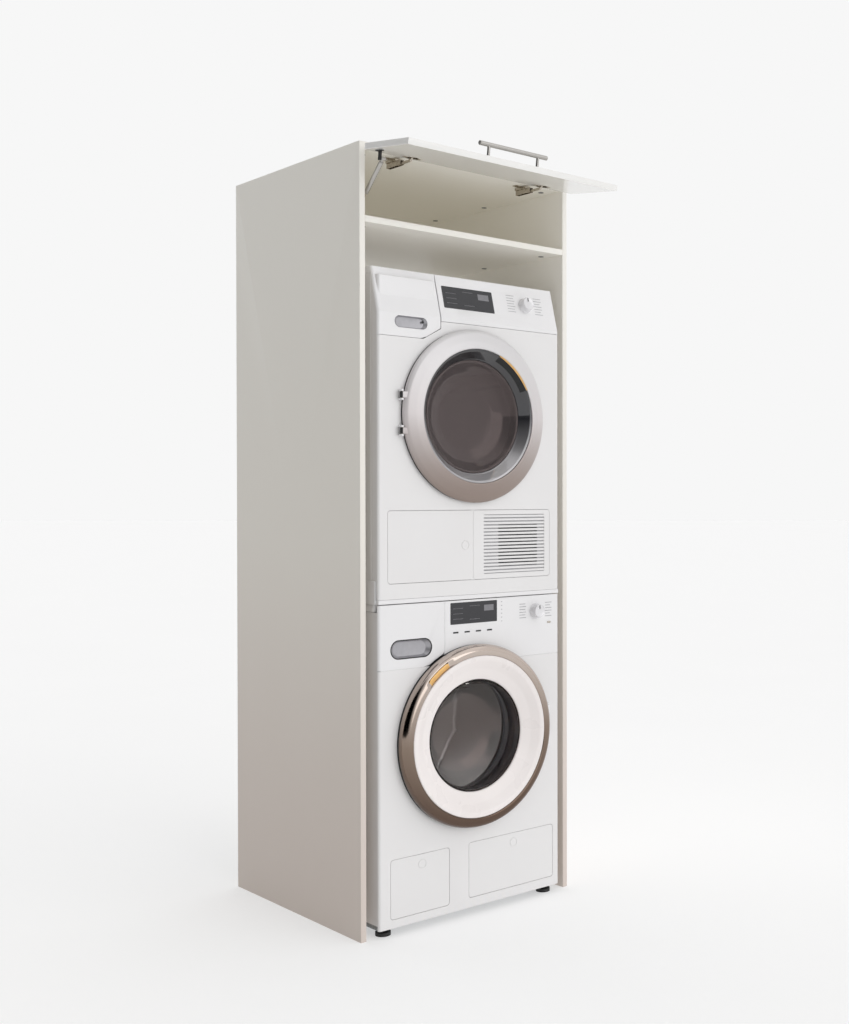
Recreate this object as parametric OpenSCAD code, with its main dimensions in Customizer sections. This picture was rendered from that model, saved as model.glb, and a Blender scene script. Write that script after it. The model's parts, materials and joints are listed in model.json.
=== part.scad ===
/* [Cabinet] */
// Overall width of the cabinet
cabinet_w = 684; // [676:1:900]
// Overall height of the cabinet
cabinet_h = 2016; // [1960:1:2400]
// Depth of the cabinet, from the panels' front edges to their back edges
cabinet_d = 658; // [640:1:800]
// Thickness of the cabinet's boards
board_t = 16; // [12:1:25]
// Clear height of the compartment behind the flap
compartment_h = 168; // [120:1:260]
// Thickness of the upper back panel
back_panel_t = 8; // [3:1:16]

/* [Flap] */
// How far the flap stands open at rest, in degrees from closed
flap_open = 82.8; // [60:0.1:88]
// Gap between the closed flap and the panels' front edges
flap_gap = 2; // [1:0.5:4]
// Gap between the flap's edges and the cabinet's outer edges
flap_reveal = 3; // [1:0.5:5]
// Distance between the handle's two posts
handle_spacing = 160; // [96:1:320]
// Length of the handle bar
handle_len = 220; // [120:1:400]
// Diameter of the handle bar
handle_d = 12; // [8:0.5:16]
// Distance from the flap's face to the handle bar's axis
handle_off = 33; // [24:1:45]
// Diameter of the hinge cups
cup_d = 35; // [26:1:40]

/* [Appliances] */
// Width of the washer and of the dryer
app_w = 596; // [560:1:620]
// Depth of the appliances' casings
app_d = 600; // [560:1:620]
// How far the appliances' front faces stand in front of the cabinet's front edges
app_proud = 14; // [0:1:40]
// Height of the washer, feet included
washer_h = 850; // [830:1:880]
// Height of the dryer without feet
dryer_h = 850; // [830:1:880]
// Height of the washer's feet
foot_h = 21; // [15:1:35]
// Thickness of the stacking frame between the machines
kit_t = 12; // [8:1:30]
// Thickness of the casings' sheet metal, as modelled
sheet_t = 2; // [1.5:0.5:4]
// Height of the washer's control panel
washer_fascia_h = 167; // [140:1:180]
// Height of the dryer's control panel
dryer_fascia_h = 127; // [110:1:140]
// How far the top of the dryer's control panel leans back
fascia_lean = 32; // [0:1:50]

/* [Doors] */
// Height of the washer door's centre above the floor
washer_door_z = 484; // [470:1:490]
// Outer radius of the washer door's ring
washer_door_r = 245; // [225:1:250]
// Radius of the washer door's inner white ring
washer_trim_r = 217; // [200:1:220]
// Radius of the washer door's glass
washer_glass_r = 150; // [130:1:155]
// Height of the dryer door's centre above the dryer's base
dryer_door_h = 477; // [470:1:485]
// Outer radius of the dryer door's ring
dryer_door_r = 231; // [215:1:235]
// Inner radius of the dryer door's ring
dryer_bezel_r = 179; // [165:1:190]
// Radius of the dryer door's glass
dryer_glass_r = 152; // [130:1:158]

/* [Machinery] */
// Outer radius of the washer's tub
tub_r = 273; // [260:1:280]
// Outer radius of the washer's drum
drum_r = 254; // [240:1:262]
// Depth of the washer's drum
drum_len = 350; // [300:1:360]
// Outer radius of the dryer's drum
dryer_drum_r = 246; // [235:1:250]
// Depth of the dryer's drum
dryer_drum_len = 450; // [400:1:470]
// Radius of the pulley on the washer's drum
pulley_r = 140; // [100:1:160]
// Radius of the pulley on the washer's motor
motor_pulley_r = 14; // [10:1:20]

/* [Hidden] */
$fn = 72;
eps = 0.01;
gap = 1;

// Flap: the two end positions share one virtual pivot, in front of the panels
pivot_out = 25;
pivot_down = 4;
cabinet_hw = cabinet_w / 2;
flap_top = cabinet_h - flap_reveal;
shelf_top = cabinet_h - board_t - compartment_h;
flap_bottom = shelf_top - board_t + flap_reveal;
flap_h = flap_top - flap_bottom;
pivot_z = cabinet_h - pivot_down;
flap_front = pivot_out * -1 + (pivot_out - flap_gap - board_t) * cos(flap_open)
    + (flap_bottom - pivot_z) * sin(flap_open);
// The origin is under the middle of the whole outline, open flap included
front_y = -(cabinet_d + flap_front) / 2;
back_y = front_y + cabinet_d;
pivot_y = front_y - pivot_out;
inner_hw = cabinet_hw - board_t;
ceiling_z = cabinet_h - board_t;

// Cup hinges and strut, in the closed flap's place
hinge_x = inner_hw - 112;
cup_z = flap_top - cup_d / 2 - 4.5;
cup_depth = 11.5;
pin_y = front_y - flap_gap - 4;
link_dip = 8.5;
ball_off = 19;
ball_down = 36;
ball_x = -inner_hw + 18;
ball_y = front_y - flap_gap + ball_off;
ball_z = flap_top - ball_down;
strut_foot_y = front_y + 74;
strut_foot_z = shelf_top + 17;
// The ball's and the cup pin's places with the flap open
function swing_y(y, z) = pivot_y + (y - pivot_y) * cos(flap_open) + (z - pivot_z) * sin(flap_open);
function swing_z(y, z) = pivot_z - (y - pivot_y) * sin(flap_open) + (z - pivot_z) * cos(flap_open);
open_ball_y = swing_y(ball_y, ball_z);
open_ball_z = swing_z(ball_y, ball_z);
open_pin_y = swing_y(pin_y, cup_z);
open_pin_z = swing_z(pin_y, cup_z);
strut_len = norm([open_ball_y - strut_foot_y, open_ball_z - strut_foot_z]);
strut_tilt = atan2(open_ball_z - strut_foot_z, open_ball_y - strut_foot_y);
tube_len = 96;
tube_r = 6;
rod_len = 112;
rod_r = 3;
// The ball socket is a little wider than the tube, so that the stud beside it clears both
socket_w = 2 * tube_r + 0.6;
socket_r = 4.5;
guard_h = 48;
guard_t = 2.5;

// Appliances
hw = app_w / 2;
wf = front_y - app_proud;
app_back = wf + app_d;
base_t = 12;
lid_t = 18;
washer_body_z = foot_h + base_t;
washer_seam = washer_h - 2 - washer_fascia_h;
panel_t = 3;
porthole_r = washer_glass_r + 30;
drawer_w = 202;
tray_z = washer_door_z + tub_r + 6;
display_w = 154;
display_h = 57;
display_x = -hw + 222;
washer_display_z = washer_h - 8 - display_h;
knob_r = 21;
knob_len = 18;
knob_shaft_r = 4;
shaft_hole_r = knob_shaft_r + 0.06;
fascia_t = 12;
washer_knob_x = hw - 84;
washer_knob_z = washer_h - 45;
key_x = hw - 36;
key_z = washer_h - 80;
pin_out = 12;
pin_r = 3;
hinge_half = 46;
knuckle_h = 16;
ear_t = 5;
tub_y = wf + 75;
drum_y = tub_y + 12;
drum_wall = 2;
shaft_r = 15;
pulley_y = tub_y + drum_len + 52;
motor_x = 110;
motor_z = foot_h + 99;
flap_t = 4;
service_hw = 210;
washer_service = [200, 700];
wl = [-hw + 35, -hw + 217, 43, 195];
wr = [-hw + 281, -hw + 573, 47, 195];
kit_z = washer_h;
dryer_z = kit_z + kit_t;
dryer_top = dryer_z + dryer_h;
dryer_door_z = dryer_z + dryer_door_h;
dryer_knee = dryer_top - dryer_fascia_h + 9;
dryer_seam = dryer_top - dryer_fascia_h;
container_w = 191;
container_low = dryer_seam - 50;
slant = atan2(fascia_lean, dryer_top - dryer_knee);
dryer_display = [-hw + 210, -hw + 376];
dryer_display_low = 31;
dryer_display_high = 92;
dryer_knob_x = hw - 109;
dryer_knob_up = 65;
dl = [-hw + 28, hw - 34, dryer_z + 40, dryer_z + 226];
dryer_split = -2;
dryer_service = [dryer_z + 250, dryer_z + 620];
dryer_drum_y = wf + 55;

// A box between two opposite corners
module box(lo, hi) {
    translate(lo) cube(hi - lo);
}

// A body turned about the Y axis from a [radius, y] outline, centred at height z
module turned(z, outline) {
    translate([0, 0, z]) rotate([-90, 0, 0]) rotate_extrude($fn = 96) polygon(outline);
}

// A cylinder along Y from y0 to y1
module rod_y(x, z, y0, y1, r) {
    translate([x, y0, z]) rotate([-90, 0, 0]) cylinder(r = r, h = y1 - y0);
}

// A cylinder along X from x0 to x1
module rod_x(x0, x1, y, z, r) {
    translate([x0, y, z]) rotate([0, 90, 0]) cylinder(r = r, h = x1 - x0);
}

// A cylinder along Z from z0 to z1
module rod_z(x, y, z0, z1, r) {
    translate([x, y, z0]) cylinder(r = r, h = z1 - z0);
}

// Takes what is drawn for the closed flap to the open flap
module opened() {
    translate([0, pivot_y, pivot_z]) rotate([-flap_open, 0, 0]) translate([0, -pivot_y, -pivot_z]) children();
}

// Takes what is drawn on the dryer's upright front to its leaning front, turned at the knee
module leaning() {
    translate([0, wf, dryer_knee]) rotate([-slant, 0, 0]) translate([0, -wf, -dryer_knee]) children();
}

// A stadium-shaped finger recess in a front
module finger_slot(x0, x1, z0, z1, depth) {
    r = (z1 - z0) / 2;
    rod_y(x0 + r, z0 + r, wf - eps, wf + depth, r);
    rod_y(x1 - r, z0 + r, wf - eps, wf + depth, r);
    box([x0 + r, wf - eps, z0], [x1 - r, wf + depth, z1]);
}

// ---- Cabinet ----

module side_panel(side) {
    x = side < 0 ? -cabinet_hw : inner_hw;
    box([x, front_y, 0], [x + board_t, back_y, cabinet_h]);
}

module side_panel_left() {
    color("gainsboro") side_panel(-1);
}

module side_panel_right() {
    color("gainsboro") side_panel(1);
}

module ceiling_panel() {
    color("gainsboro") box([-inner_hw, front_y, ceiling_z], [inner_hw, back_y, cabinet_h]);
}

module shelf_panel() {
    color("whitesmoke")
        box([-inner_hw, front_y, shelf_top - board_t], [inner_hw, back_y - back_panel_t, shelf_top]);
}

module upper_back_panel() {
    color("gainsboro")
        box([-inner_hw, back_y - back_panel_t, shelf_top - 60], [inner_hw, back_y, ceiling_z]);
}

module rear_rail() {
    rail_h = 100;
    color("gainsboro") box([-inner_hw, back_y - board_t, 0], [inner_hw, back_y, rail_h]);
}

module cam_fittings() {
    cap_r = 7.5;
    cap_t = 1;
    rows = [60, cabinet_d / 2, cabinet_d - 75];
    color("dimgray") for (z = [ceiling_z, shelf_top - board_t], x = [-1, 1], y = rows)
        rod_z(x * (inner_hw - 30), front_y + y, z - cap_t, z, cap_r);
}

// ---- Flap, its handle, hinges and strut ----

module cup_hollow(x) {
    rod_y(x, cup_z, front_y - flap_gap - cup_depth, front_y, cup_d / 2);
}

module flap_panel() {
    edge = cabinet_hw - flap_reveal / 2;
    color("whitesmoke") opened() difference() {
        box([-edge, front_y - flap_gap - board_t, flap_bottom], [edge, front_y - flap_gap, flap_top]);
        for (x = [-hinge_x, hinge_x]) cup_hollow(x);
    }
}

module flap_handle() {
    face = front_y - flap_gap - board_t;
    z = flap_bottom + 32;
    post_r = 4;
    color("silver") opened() {
        rod_x(-handle_len / 2, handle_len / 2, face - handle_off, z, handle_d / 2);
        for (x = [-1, 1]) rod_y(x * handle_spacing / 2, z, face - handle_off, face, post_r);
    }
}

module hinge_cups() {
    wall = 1.5;
    face = front_y - flap_gap;
    floor_y = face - cup_depth;
    ear_hw = 26;
    color("silver") opened() for (x = [-hinge_x, hinge_x]) {
        difference() {
            union() {
                rod_y(x, cup_z, floor_y, face + 0.6, cup_d / 2 - 0.3);
                box([x - ear_hw, face, cup_z - 8], [x + ear_hw, face + 0.8, cup_z + 8]);
            }
            rod_y(x, cup_z, floor_y + wall, front_y, cup_d / 2 - 0.3 - wall);
        }
        rod_x(x - cup_d / 2 + 1, x + cup_d / 2 - 1, pin_y, cup_z, 1.5);
    }
}

// One link of a hinge: a cranked plate from the cup's pin back into the arm
module hinge_link(x) {
    y = open_pin_y;
    z = open_pin_z;
    plate_hw = 3;
    difference() {
        translate([x - plate_hw, 0, 0]) rotate([90, 0, 90]) linear_extrude(2 * plate_hw)
            polygon([[y - 3, z + 2.5], [y + 2, z + 3], [y + 7, z - 2], [y + 10, z - link_dip + 2.5],
                [y + 66, z - link_dip + 2.5], [y + 66, z - link_dip - 2.5], [y + 8, z - link_dip - 2.5],
                [y, z - 4], [y - 3, z - 3]]);
        rod_x(x - plate_hw - 1, x + plate_hw + 1, y, z, 1.55);
    }
}

module hinge_links() {
    color("silver") for (x = [-hinge_x, hinge_x]) hinge_link(x);
}

module hinge_arms() {
    arm_hw = 6;
    wall = 1.5;
    arm_top = ceiling_z - 9;
    arm_low = open_pin_z - link_dip - 4;
    arm_len = 66;
    color("silver") for (x = [-hinge_x, hinge_x]) {
        difference() {
            box([x - arm_hw, front_y + 3, arm_low], [x + arm_hw, front_y + arm_len, arm_top]);
            box([x - arm_hw + wall, front_y, arm_low - 1],
                [x + arm_hw - wall, front_y + arm_len - 3, arm_top - 2]);
        }
        box([x - 9, front_y + 20, arm_top], [x + 9, front_y + arm_len, ceiling_z - 2]);
        box([x - 28, front_y + 37, ceiling_z - 2], [x + 28, front_y + 52, ceiling_z]);
    }
}

module strut_flap_bracket() {
    face = front_y - flap_gap;
    color("dimgray") opened() {
        box([ball_x - 15, face, ball_z - 14], [ball_x - socket_w / 2 - 1, face + 2, ball_z + 14]);
        box([ball_x - 11, face, ball_z - 6], [ball_x - 8, ball_y + 5, ball_z + 6]);
        // The stud stops at the socket's cheek, so that the socket can swing past it
        rod_x(ball_x - 9, ball_x - socket_w / 2 - 0.3, ball_y, ball_z, 3.5);
    }
}

module strut_side_bracket() {
    color("dimgray") {
        box([-inner_hw, strut_foot_y - 10, strut_foot_z - 14],
            [-inner_hw + 3, strut_foot_y + 10, strut_foot_z + 26]);
        rod_x(-inner_hw + 1, ball_x + 3, strut_foot_y, strut_foot_z, 2.5);
    }
}

// Draws a strut piece along +X from the foot pivot and lays it along the open strut
module along_strut() {
    translate([ball_x, strut_foot_y, strut_foot_z]) rotate([strut_tilt, 0, 0]) rotate([0, 0, 90]) children();
}

module strut_eye(at) {
    difference() {
        translate([at, 0, 0]) rotate([90, 0, 0]) cylinder(r = 6, h = 6, center = true);
        translate([at, 0, 0]) rotate([90, 0, 0]) cylinder(r = 2.55, h = 8, center = true);
    }
}

module strut_rod() {
    color("lightgray") along_strut() {
        strut_eye(0);
        translate([5.5, 0, 0]) rotate([0, 90, 0]) cylinder(r = rod_r, h = rod_len);
    }
}

module strut_tube() {
    top = strut_len - 10;
    color("silver") along_strut() {
        difference() {
            translate([top - tube_len, 0, 0]) rotate([0, 90, 0]) cylinder(r = tube_r, h = tube_len);
            translate([top - tube_len - 1, 0, 0]) rotate([0, 90, 0])
                cylinder(r = rod_r + 0.08, h = tube_len - 4);
        }
        translate([top - 1, 0, 0]) rotate([0, 90, 0]) cylinder(r = 3.5, h = 9);
        translate([strut_len, 0, 0]) rotate([90, 0, 0]) cylinder(r = socket_r, h = socket_w, center = true);
    }
}

// ---- Parts that both machines have ----

// A casing bent from one sheet round both sides and the back; hole is its service opening's z range
module casing(z0, z1, hole) {
    difference() {
        box([-hw, wf + panel_t, z0], [hw, app_back, z1]);
        box([-hw + sheet_t, wf - 1, z0 - 1], [hw - sheet_t, app_back - sheet_t, z1 + 1]);
        box([-service_hw, app_back - 5, hole[0]], [service_hw, app_back + 5, hole[1]]);
    }
}

module rear_covers() {
    lap = 15;
    color("lightgray") for (hole = [washer_service, dryer_service])
        box([-service_hw - lap, app_back, hole[0] - lap], [service_hw + lap, app_back + 3, hole[1] + lap]);
}

// Fixed ears and pins of a door's hinge
module door_ears(x, z) {
    for (s = [-1, 1]) {
        zc = z + s * hinge_half;
        rod_z(x, wf - pin_out, zc - knuckle_h / 2 - ear_t - gap, zc + knuckle_h / 2 + ear_t + gap, pin_r);
        for (e = [-1, 1]) {
            ez = zc + e * (knuckle_h / 2 + gap + ear_t / 2);
            box([x - 4, wf - pin_out - 4, ez - ear_t / 2], [x + 4, wf, ez + ear_t / 2]);
        }
    }
}

// The door's own knuckles round those pins, joined to the ring at reach
module door_knuckles(side, x, z, reach) {
    for (s = [-1, 1]) {
        zc = z + s * hinge_half;
        difference() {
            union() {
                rod_z(x, wf - pin_out, zc - knuckle_h / 2, zc + knuckle_h / 2, 6);
                box([min(x, x - side * reach), wf - pin_out - 5, zc - knuckle_h / 2],
                    [max(x, x - side * reach), wf - pin_out + 3, zc + knuckle_h / 2]);
            }
            rod_z(x, wf - pin_out, zc - knuckle_h, zc + knuckle_h, pin_r + 0.05);
        }
    }
}

// A drum shell with a front lip, a back wall and three lifting ribs
module drum_shell(z, r, y0, len, mouth_r) {
    rib_h = 34;
    turned(z, [[mouth_r, y0], [r, y0], [r, y0 + len], [0, y0 + len], [0, y0 + len - 4],
        [r - drum_wall, y0 + len - 4], [r - drum_wall, y0 + 6], [mouth_r, y0 + 6]]);
    for (a = [90, 210, 330]) translate([0, 0, z]) rotate([0, -a, 0])
        box([r - drum_wall - rib_h, y0 + 30, -9], [r - 1, y0 + len - 30, 9]);
}

// A control knob with its shaft, its back at y
module control_knob(x, z, y) {
    grip_h = 5;
    rod_y(x, z, y - knob_len, y - 0.5, knob_r);
    rod_y(x, z, y - 0.6, y + 10, knob_shaft_r);
    box([x - 2, y - knob_len - grip_h, z - knob_r + 4], [x + 2, y - knob_len + eps, z + knob_r - 4]);
}

// ---- Washer ----

module washer_casing() {
    color("white") difference() {
        casing(washer_body_z, washer_h - 20, washer_service);
        box([-hw - 1, wf, washer_seam], [hw + 1, wf + 20, washer_h]);
    }
}

module washer_base() {
    color("gray") box([-hw, wf + panel_t, foot_h], [hw, app_back, washer_body_z]);
}

module washer_worktop() {
    color("white") box([-hw, wf + 20, washer_h - 20], [hw, app_back, washer_h]);
}

module service_hole(f) {
    box([f[0] - gap, wf - 1, f[2] - gap], [f[1] + gap, wf + panel_t + 1, f[3] + gap]);
}

module washer_front_panel() {
    color("white") difference() {
        union() {
            box([-hw, wf, foot_h], [hw, wf + panel_t, washer_seam]);
            intersection() {
                rod_y(0, washer_door_z, wf, wf + panel_t, washer_door_r);
                box([-hw, wf, washer_seam - 1], [-hw + drawer_w, wf + panel_t, washer_h]);
            }
        }
        rod_y(0, washer_door_z, wf - 1, wf + panel_t + 1, porthole_r);
        service_hole(wl);
        service_hole(wr);
    }
}

module washer_fascia() {
    x0 = -hw + drawer_w + 2;
    color("white") difference() {
        box([x0, wf, washer_seam + gap], [hw, wf + fascia_t, washer_h - 2]);
        box([display_x - 0.5, wf - 1, washer_display_z - 0.5],
            [display_x + display_w + 0.5, wf + panel_t, washer_display_z + display_h + 0.5]);
        rod_y(washer_knob_x, washer_knob_z, wf - 1, wf + fascia_t + 1, shaft_hole_r);
        box([key_x - 6.5, wf - 1, key_z - 3], [key_x + 6.5, wf + fascia_t + 1, key_z + 3]);
    }
}

module washer_drawer() {
    front_t = 15;
    tray = [[-hw + 12, wf + front_t - 1, tray_z], [-hw + 190, wf + 290, washer_h - 26]];
    wall = 2;
    color("white") difference() {
        union() {
            box([-hw, wf, washer_seam + gap], [-hw + drawer_w, wf + front_t, washer_h - 2]);
            box(tray[0], tray[1]);
        }
        for (c = [[tray[0][0] + wall, tray[0][0] + 86], [tray[0][0] + 88, tray[1][0] - wall]])
            box([c[0], wf + front_t + 2, tray_z + wall], [c[1], tray[1][1] - wall, washer_h]);
        finger_slot(-hw + 38, -hw + 160, washer_h - 140, washer_h - 96, 12);
        rod_y(0, washer_door_z, wf - 1, wf + front_t + 1, washer_door_r + 2 * gap);
    }
}

module washer_display() {
    color("black") box([display_x, wf - 0.5, washer_display_z],
        [display_x + display_w, wf + panel_t, washer_display_z + display_h]);
}

module washer_knob() {
    color("silver") control_knob(washer_knob_x, washer_knob_z, wf);
}

module washer_power_key() {
    color("silver") box([key_x - 6, wf - 2, key_z - 2.5], [key_x + 6, wf + 6, key_z + 2.5]);
}

module washer_door_ring() {
    r = washer_door_r;
    rx = r + 4;
    color("silver") difference() {
        union() {
            turned(washer_door_z, [[r - 10, wf - 2], [r, wf - 2], [r, wf - 20], [r - 5, wf - 32],
                [r - 14, wf - 38], [washer_trim_r, wf - 37], [washer_trim_r, wf - 33], [r - 16, wf - 30],
                [r - 10, wf - 18]]);
            door_knuckles(1, rx, washer_door_z, 16);
        }
        for (s = [-1, 1]) rod_z(rx, wf - pin_out, washer_door_z + s * hinge_half - knuckle_h,
            washer_door_z + s * hinge_half + knuckle_h, pin_r + 0.05);
    }
}

module washer_door_trim() {
    color("white") turned(washer_door_z, [[washer_glass_r + 0.5, wf - 12], [washer_trim_r - 0.5, wf - 36],
        [washer_trim_r - 0.5, wf - 32], [washer_trim_r - 8, wf - 2], [washer_glass_r + 6, wf - 2],
        [washer_glass_r + 0.5, wf - 8]]);
}

module washer_door_glass() {
    r = washer_glass_r;
    color("dimgray", 0.5) turned(washer_door_z, [[r, wf - 12], [r - 4, wf + 4], [r - 32, wf + 60],
        [r - 60, wf + 76], [0, wf + 80], [0, wf + 76], [r - 62, wf + 72], [r - 36, wf + 57], [r - 8, wf + 3],
        [r - 5, wf - 12]]);
}

module door_hinges() {
    color("silver") {
        door_ears(washer_door_r + 4, washer_door_z);
        door_ears(-dryer_door_r - 4, dryer_door_z);
    }
}

module washer_door_seal() {
    r = washer_glass_r;
    rim = porthole_r;
    color("gray") turned(washer_door_z, [[rim + 8, wf + panel_t], [rim + 8, wf + panel_t + 5],
        [rim - 2, wf + 12], [rim + 2, tub_y - 12], [rim + 2, tub_y], [rim - 16, tub_y],
        [r - 2, tub_y - 30], [r - 2, tub_y - 34], [rim - 8, tub_y - 20], [rim - 12, wf + 14],
        [rim - 4, wf + panel_t]]);
}

module washer_tub() {
    back = tub_y + drum_len + 36;
    bore = shaft_r + 0.06;
    color("dimgray") turned(washer_door_z, [[porthole_r - 16, tub_y], [tub_r, tub_y], [tub_r, back],
        [30, back], [30, back + 8], [bore, back + 8], [bore, back - 14], [tub_r - 4, back - 14],
        [tub_r - 4, tub_y + 5], [porthole_r - 16, tub_y + 5]]);
}

module washer_drum() {
    color("silver") {
        drum_shell(washer_door_z, drum_r, drum_y, drum_len, porthole_r - 18);
        rod_y(0, washer_door_z, drum_y + drum_len - 1, pulley_y + 20, shaft_r);
    }
}

module washer_pulley() {
    rim = pulley_r;
    color("lightgray") turned(washer_door_z, [[shaft_r, pulley_y], [rim, pulley_y], [rim, pulley_y + 16],
        [rim - 8, pulley_y + 16], [rim - 8, pulley_y + 5], [shaft_r + 10, pulley_y + 5],
        [shaft_r + 10, pulley_y + 16], [shaft_r, pulley_y + 16]]);
}

module washer_motor() {
    motor_r = 58;
    color("slategray") {
        difference() {
            rod_y(motor_x, motor_z, pulley_y - 180, pulley_y - 8, motor_r);
            rod_y(motor_x, motor_z, pulley_y - 60, pulley_y, 6.05);
        }
        for (s = [-1, 1]) box([motor_x + s * 40 - 8, pulley_y - 150, washer_body_z],
            [motor_x + s * 40 + 8, pulley_y - 40, motor_z - 30]);
    }
}

module washer_motor_pulley() {
    color("silver") {
        rod_y(motor_x, motor_z, pulley_y, pulley_y + 16, motor_pulley_r);
        rod_y(motor_x, motor_z, pulley_y - 55, pulley_y + 1, 6);
    }
}

module belt_outline(extra) {
    hull() {
        translate([0, washer_door_z]) circle(r = pulley_r + extra);
        translate([motor_x, motor_z]) circle(r = motor_pulley_r + extra);
    }
}

module washer_belt() {
    color("black") translate([0, pulley_y + 14, 0]) rotate([90, 0, 0]) linear_extrude(12) difference() {
        belt_outline(3.4);
        belt_outline(0.4);
    }
}

module washer_counterweight() {
    color("darkgray") box([-80, tub_y + 240, washer_door_z + tub_r], [180, tub_y + 340, washer_h - 30]);
}

module washer_suspension() {
    damper_x = tub_r - 109;
    damper_r = 13;
    spring_x = tub_r - 41;
    spring_r = 9;
    drop = sqrt(pow(tub_r, 2) - pow(damper_x - damper_r, 2));
    rise = sqrt(pow(tub_r, 2) - pow(spring_x - spring_r, 2));
    color("gray") for (s = [-1, 1]) {
        rod_z(s * damper_x, tub_y + 190, washer_body_z, washer_door_z - drop, damper_r);
        rod_z(s * spring_x, tub_y + 300, washer_door_z + rise, washer_h - 20, spring_r);
    }
}

module washer_drain_pump() {
    color("slategray") {
        rod_y(150, 105, wf + 8, wf + 95, 34);
        box([120, wf + 30, washer_body_z], [180, wf + 90, 90]);
    }
}

// A service flap set in a front panel; f is [x0, x1, z0, z1]
module service_flap(f) {
    box([f[0], wf, f[2]], [f[1], wf + flap_t, f[3]]);
}

module washer_flap_left() {
    color("white") service_flap(wl);
}

module washer_flap_right() {
    color("white") service_flap(wr);
}

module washer_feet() {
    foot_r = 20;
    color("black") for (x = [-1, 1], y = [wf + 32, app_back - 40]) {
        rod_z(x * (hw - 32), y, 0, 9, foot_r);
        rod_z(x * (hw - 32), y, 9, foot_h, 9);
    }
}

// ---- Dryer ----

module stacking_kit() {
    rail = 45;
    color("white") {
        difference() {
            box([-hw, wf, kit_z], [hw, app_back, dryer_z]);
            box([-hw + rail, wf + rail, kit_z - 1], [hw - rail, app_back - rail, dryer_z + 1]);
        }
        // Side guards that keep the dryer from walking off the washer
        for (s = [-1, 1]) {
            inner = s * (hw + 0.5);
            outer = s * (hw + 0.5 + guard_t);
            foot = s * (hw - 1);
            box([min(inner, outer), wf + 12, kit_z],
                [max(inner, outer), app_back - 20, dryer_z + guard_h]);
            box([min(foot, outer), wf + 12, kit_z], [max(foot, outer), app_back - 20, dryer_z]);
        }
    }
}

module dryer_base() {
    color("gray") box([-hw, wf + panel_t, dryer_z], [hw, app_back, dryer_z + lid_t]);
}

module dryer_casing() {
    behind = wf + fascia_lean + 2;
    color("white") difference() {
        casing(dryer_z + lid_t, dryer_top - lid_t, dryer_service);
        box([-hw - 1, wf, dryer_seam - gap], [hw + 1, behind, dryer_top]);
        box([-hw - 1, wf, container_low - gap], [0, behind, dryer_top]);
    }
}

module dryer_lid() {
    color("white") box([-hw, wf + fascia_lean + 1, dryer_top - lid_t], [hw, app_back, dryer_top]);
}

module dryer_front_panel() {
    step_x = -hw + container_w;
    color("white") difference() {
        translate([0, wf + panel_t, 0]) rotate([90, 0, 0]) linear_extrude(panel_t) polygon([
            [-hw, dryer_z], [hw, dryer_z], [hw, dryer_seam - gap], [step_x + 2, dryer_seam - gap],
            [step_x + 2, container_low + 30], [step_x - 54, container_low - gap],
            [-hw, container_low - gap]]);
        rod_y(0, dryer_door_z, wf - 1, wf + panel_t + 1, dryer_glass_r + 16);
        service_hole(dl);
    }
}

// The control panel's side outline: upright below the knee, leaning back above it
module fascia_outline(low) {
    polygon([[wf, low], [wf, dryer_knee], [wf + fascia_lean, dryer_top - 1],
        [wf + fascia_lean, dryer_top - 22], [wf + 14, dryer_knee], [wf + 14, low]]);
}

module fascia_bar(x0, x1, low) {
    translate([x0, 0, 0]) rotate([90, 0, 90]) linear_extrude(x1 - x0) fascia_outline(low);
}

module dryer_fascia() {
    x0 = -hw + container_w + 3;
    color("white") difference() {
        fascia_bar(x0, hw, dryer_seam);
        leaning() {
            box([dryer_display[0] - 0.5, wf - 1, dryer_knee + dryer_display_low - 0.5],
                [dryer_display[1] + 0.5, wf + panel_t, dryer_knee + dryer_display_high + 0.5]);
            rod_y(dryer_knob_x, dryer_knee + dryer_knob_up, wf - 1, wf + fascia_t, shaft_hole_r);
        }
    }
}

module dryer_container() {
    step_x = -hw + container_w;
    color("white") difference() {
        union() {
            intersection() {
                fascia_bar(-hw, step_x, container_low);
                translate([0, wf + 40, 0]) rotate([90, 0, 0]) linear_extrude(60) polygon([
                    [-hw, container_low], [step_x - 54, container_low], [step_x, container_low + 31],
                    [step_x, dryer_top], [-hw, dryer_top]]);
            }
            box([-hw + 8, wf + 12, dryer_door_z + dryer_drum_r + 8],
                [step_x - 8, wf + 420, dryer_top - lid_t - 4]);
        }
        finger_slot(-hw + 50, -hw + 150, dryer_knee - 36, dryer_knee - 6, 9);
    }
}

module dryer_display() {
    color("black") leaning() box([dryer_display[0], wf - 0.5, dryer_knee + dryer_display_low],
        [dryer_display[1], wf + panel_t, dryer_knee + dryer_display_high]);
}

module dryer_knob() {
    color("silver") leaning() control_knob(dryer_knob_x, dryer_knee + dryer_knob_up, wf);
}

module dryer_door_ring() {
    r = dryer_door_r;
    rx = r + 4;
    color("silver") difference() {
        union() {
            turned(dryer_door_z, [[r - 12, wf - 1], [r, wf - 1], [r - 1, wf - 12], [r - 9, wf - 20],
                [r - 31, wf - 28], [dryer_bezel_r + 2, wf - 31], [dryer_bezel_r, wf - 29],
                [dryer_bezel_r, wf - 25], [r - 34, wf - 22], [r - 14, wf - 14]]);
            door_knuckles(-1, -rx, dryer_door_z, 16);
        }
        for (s = [-1, 1]) rod_z(-rx, wf - pin_out, dryer_door_z + s * hinge_half - knuckle_h,
            dryer_door_z + s * hinge_half + knuckle_h, pin_r + 0.05);
    }
}

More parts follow.
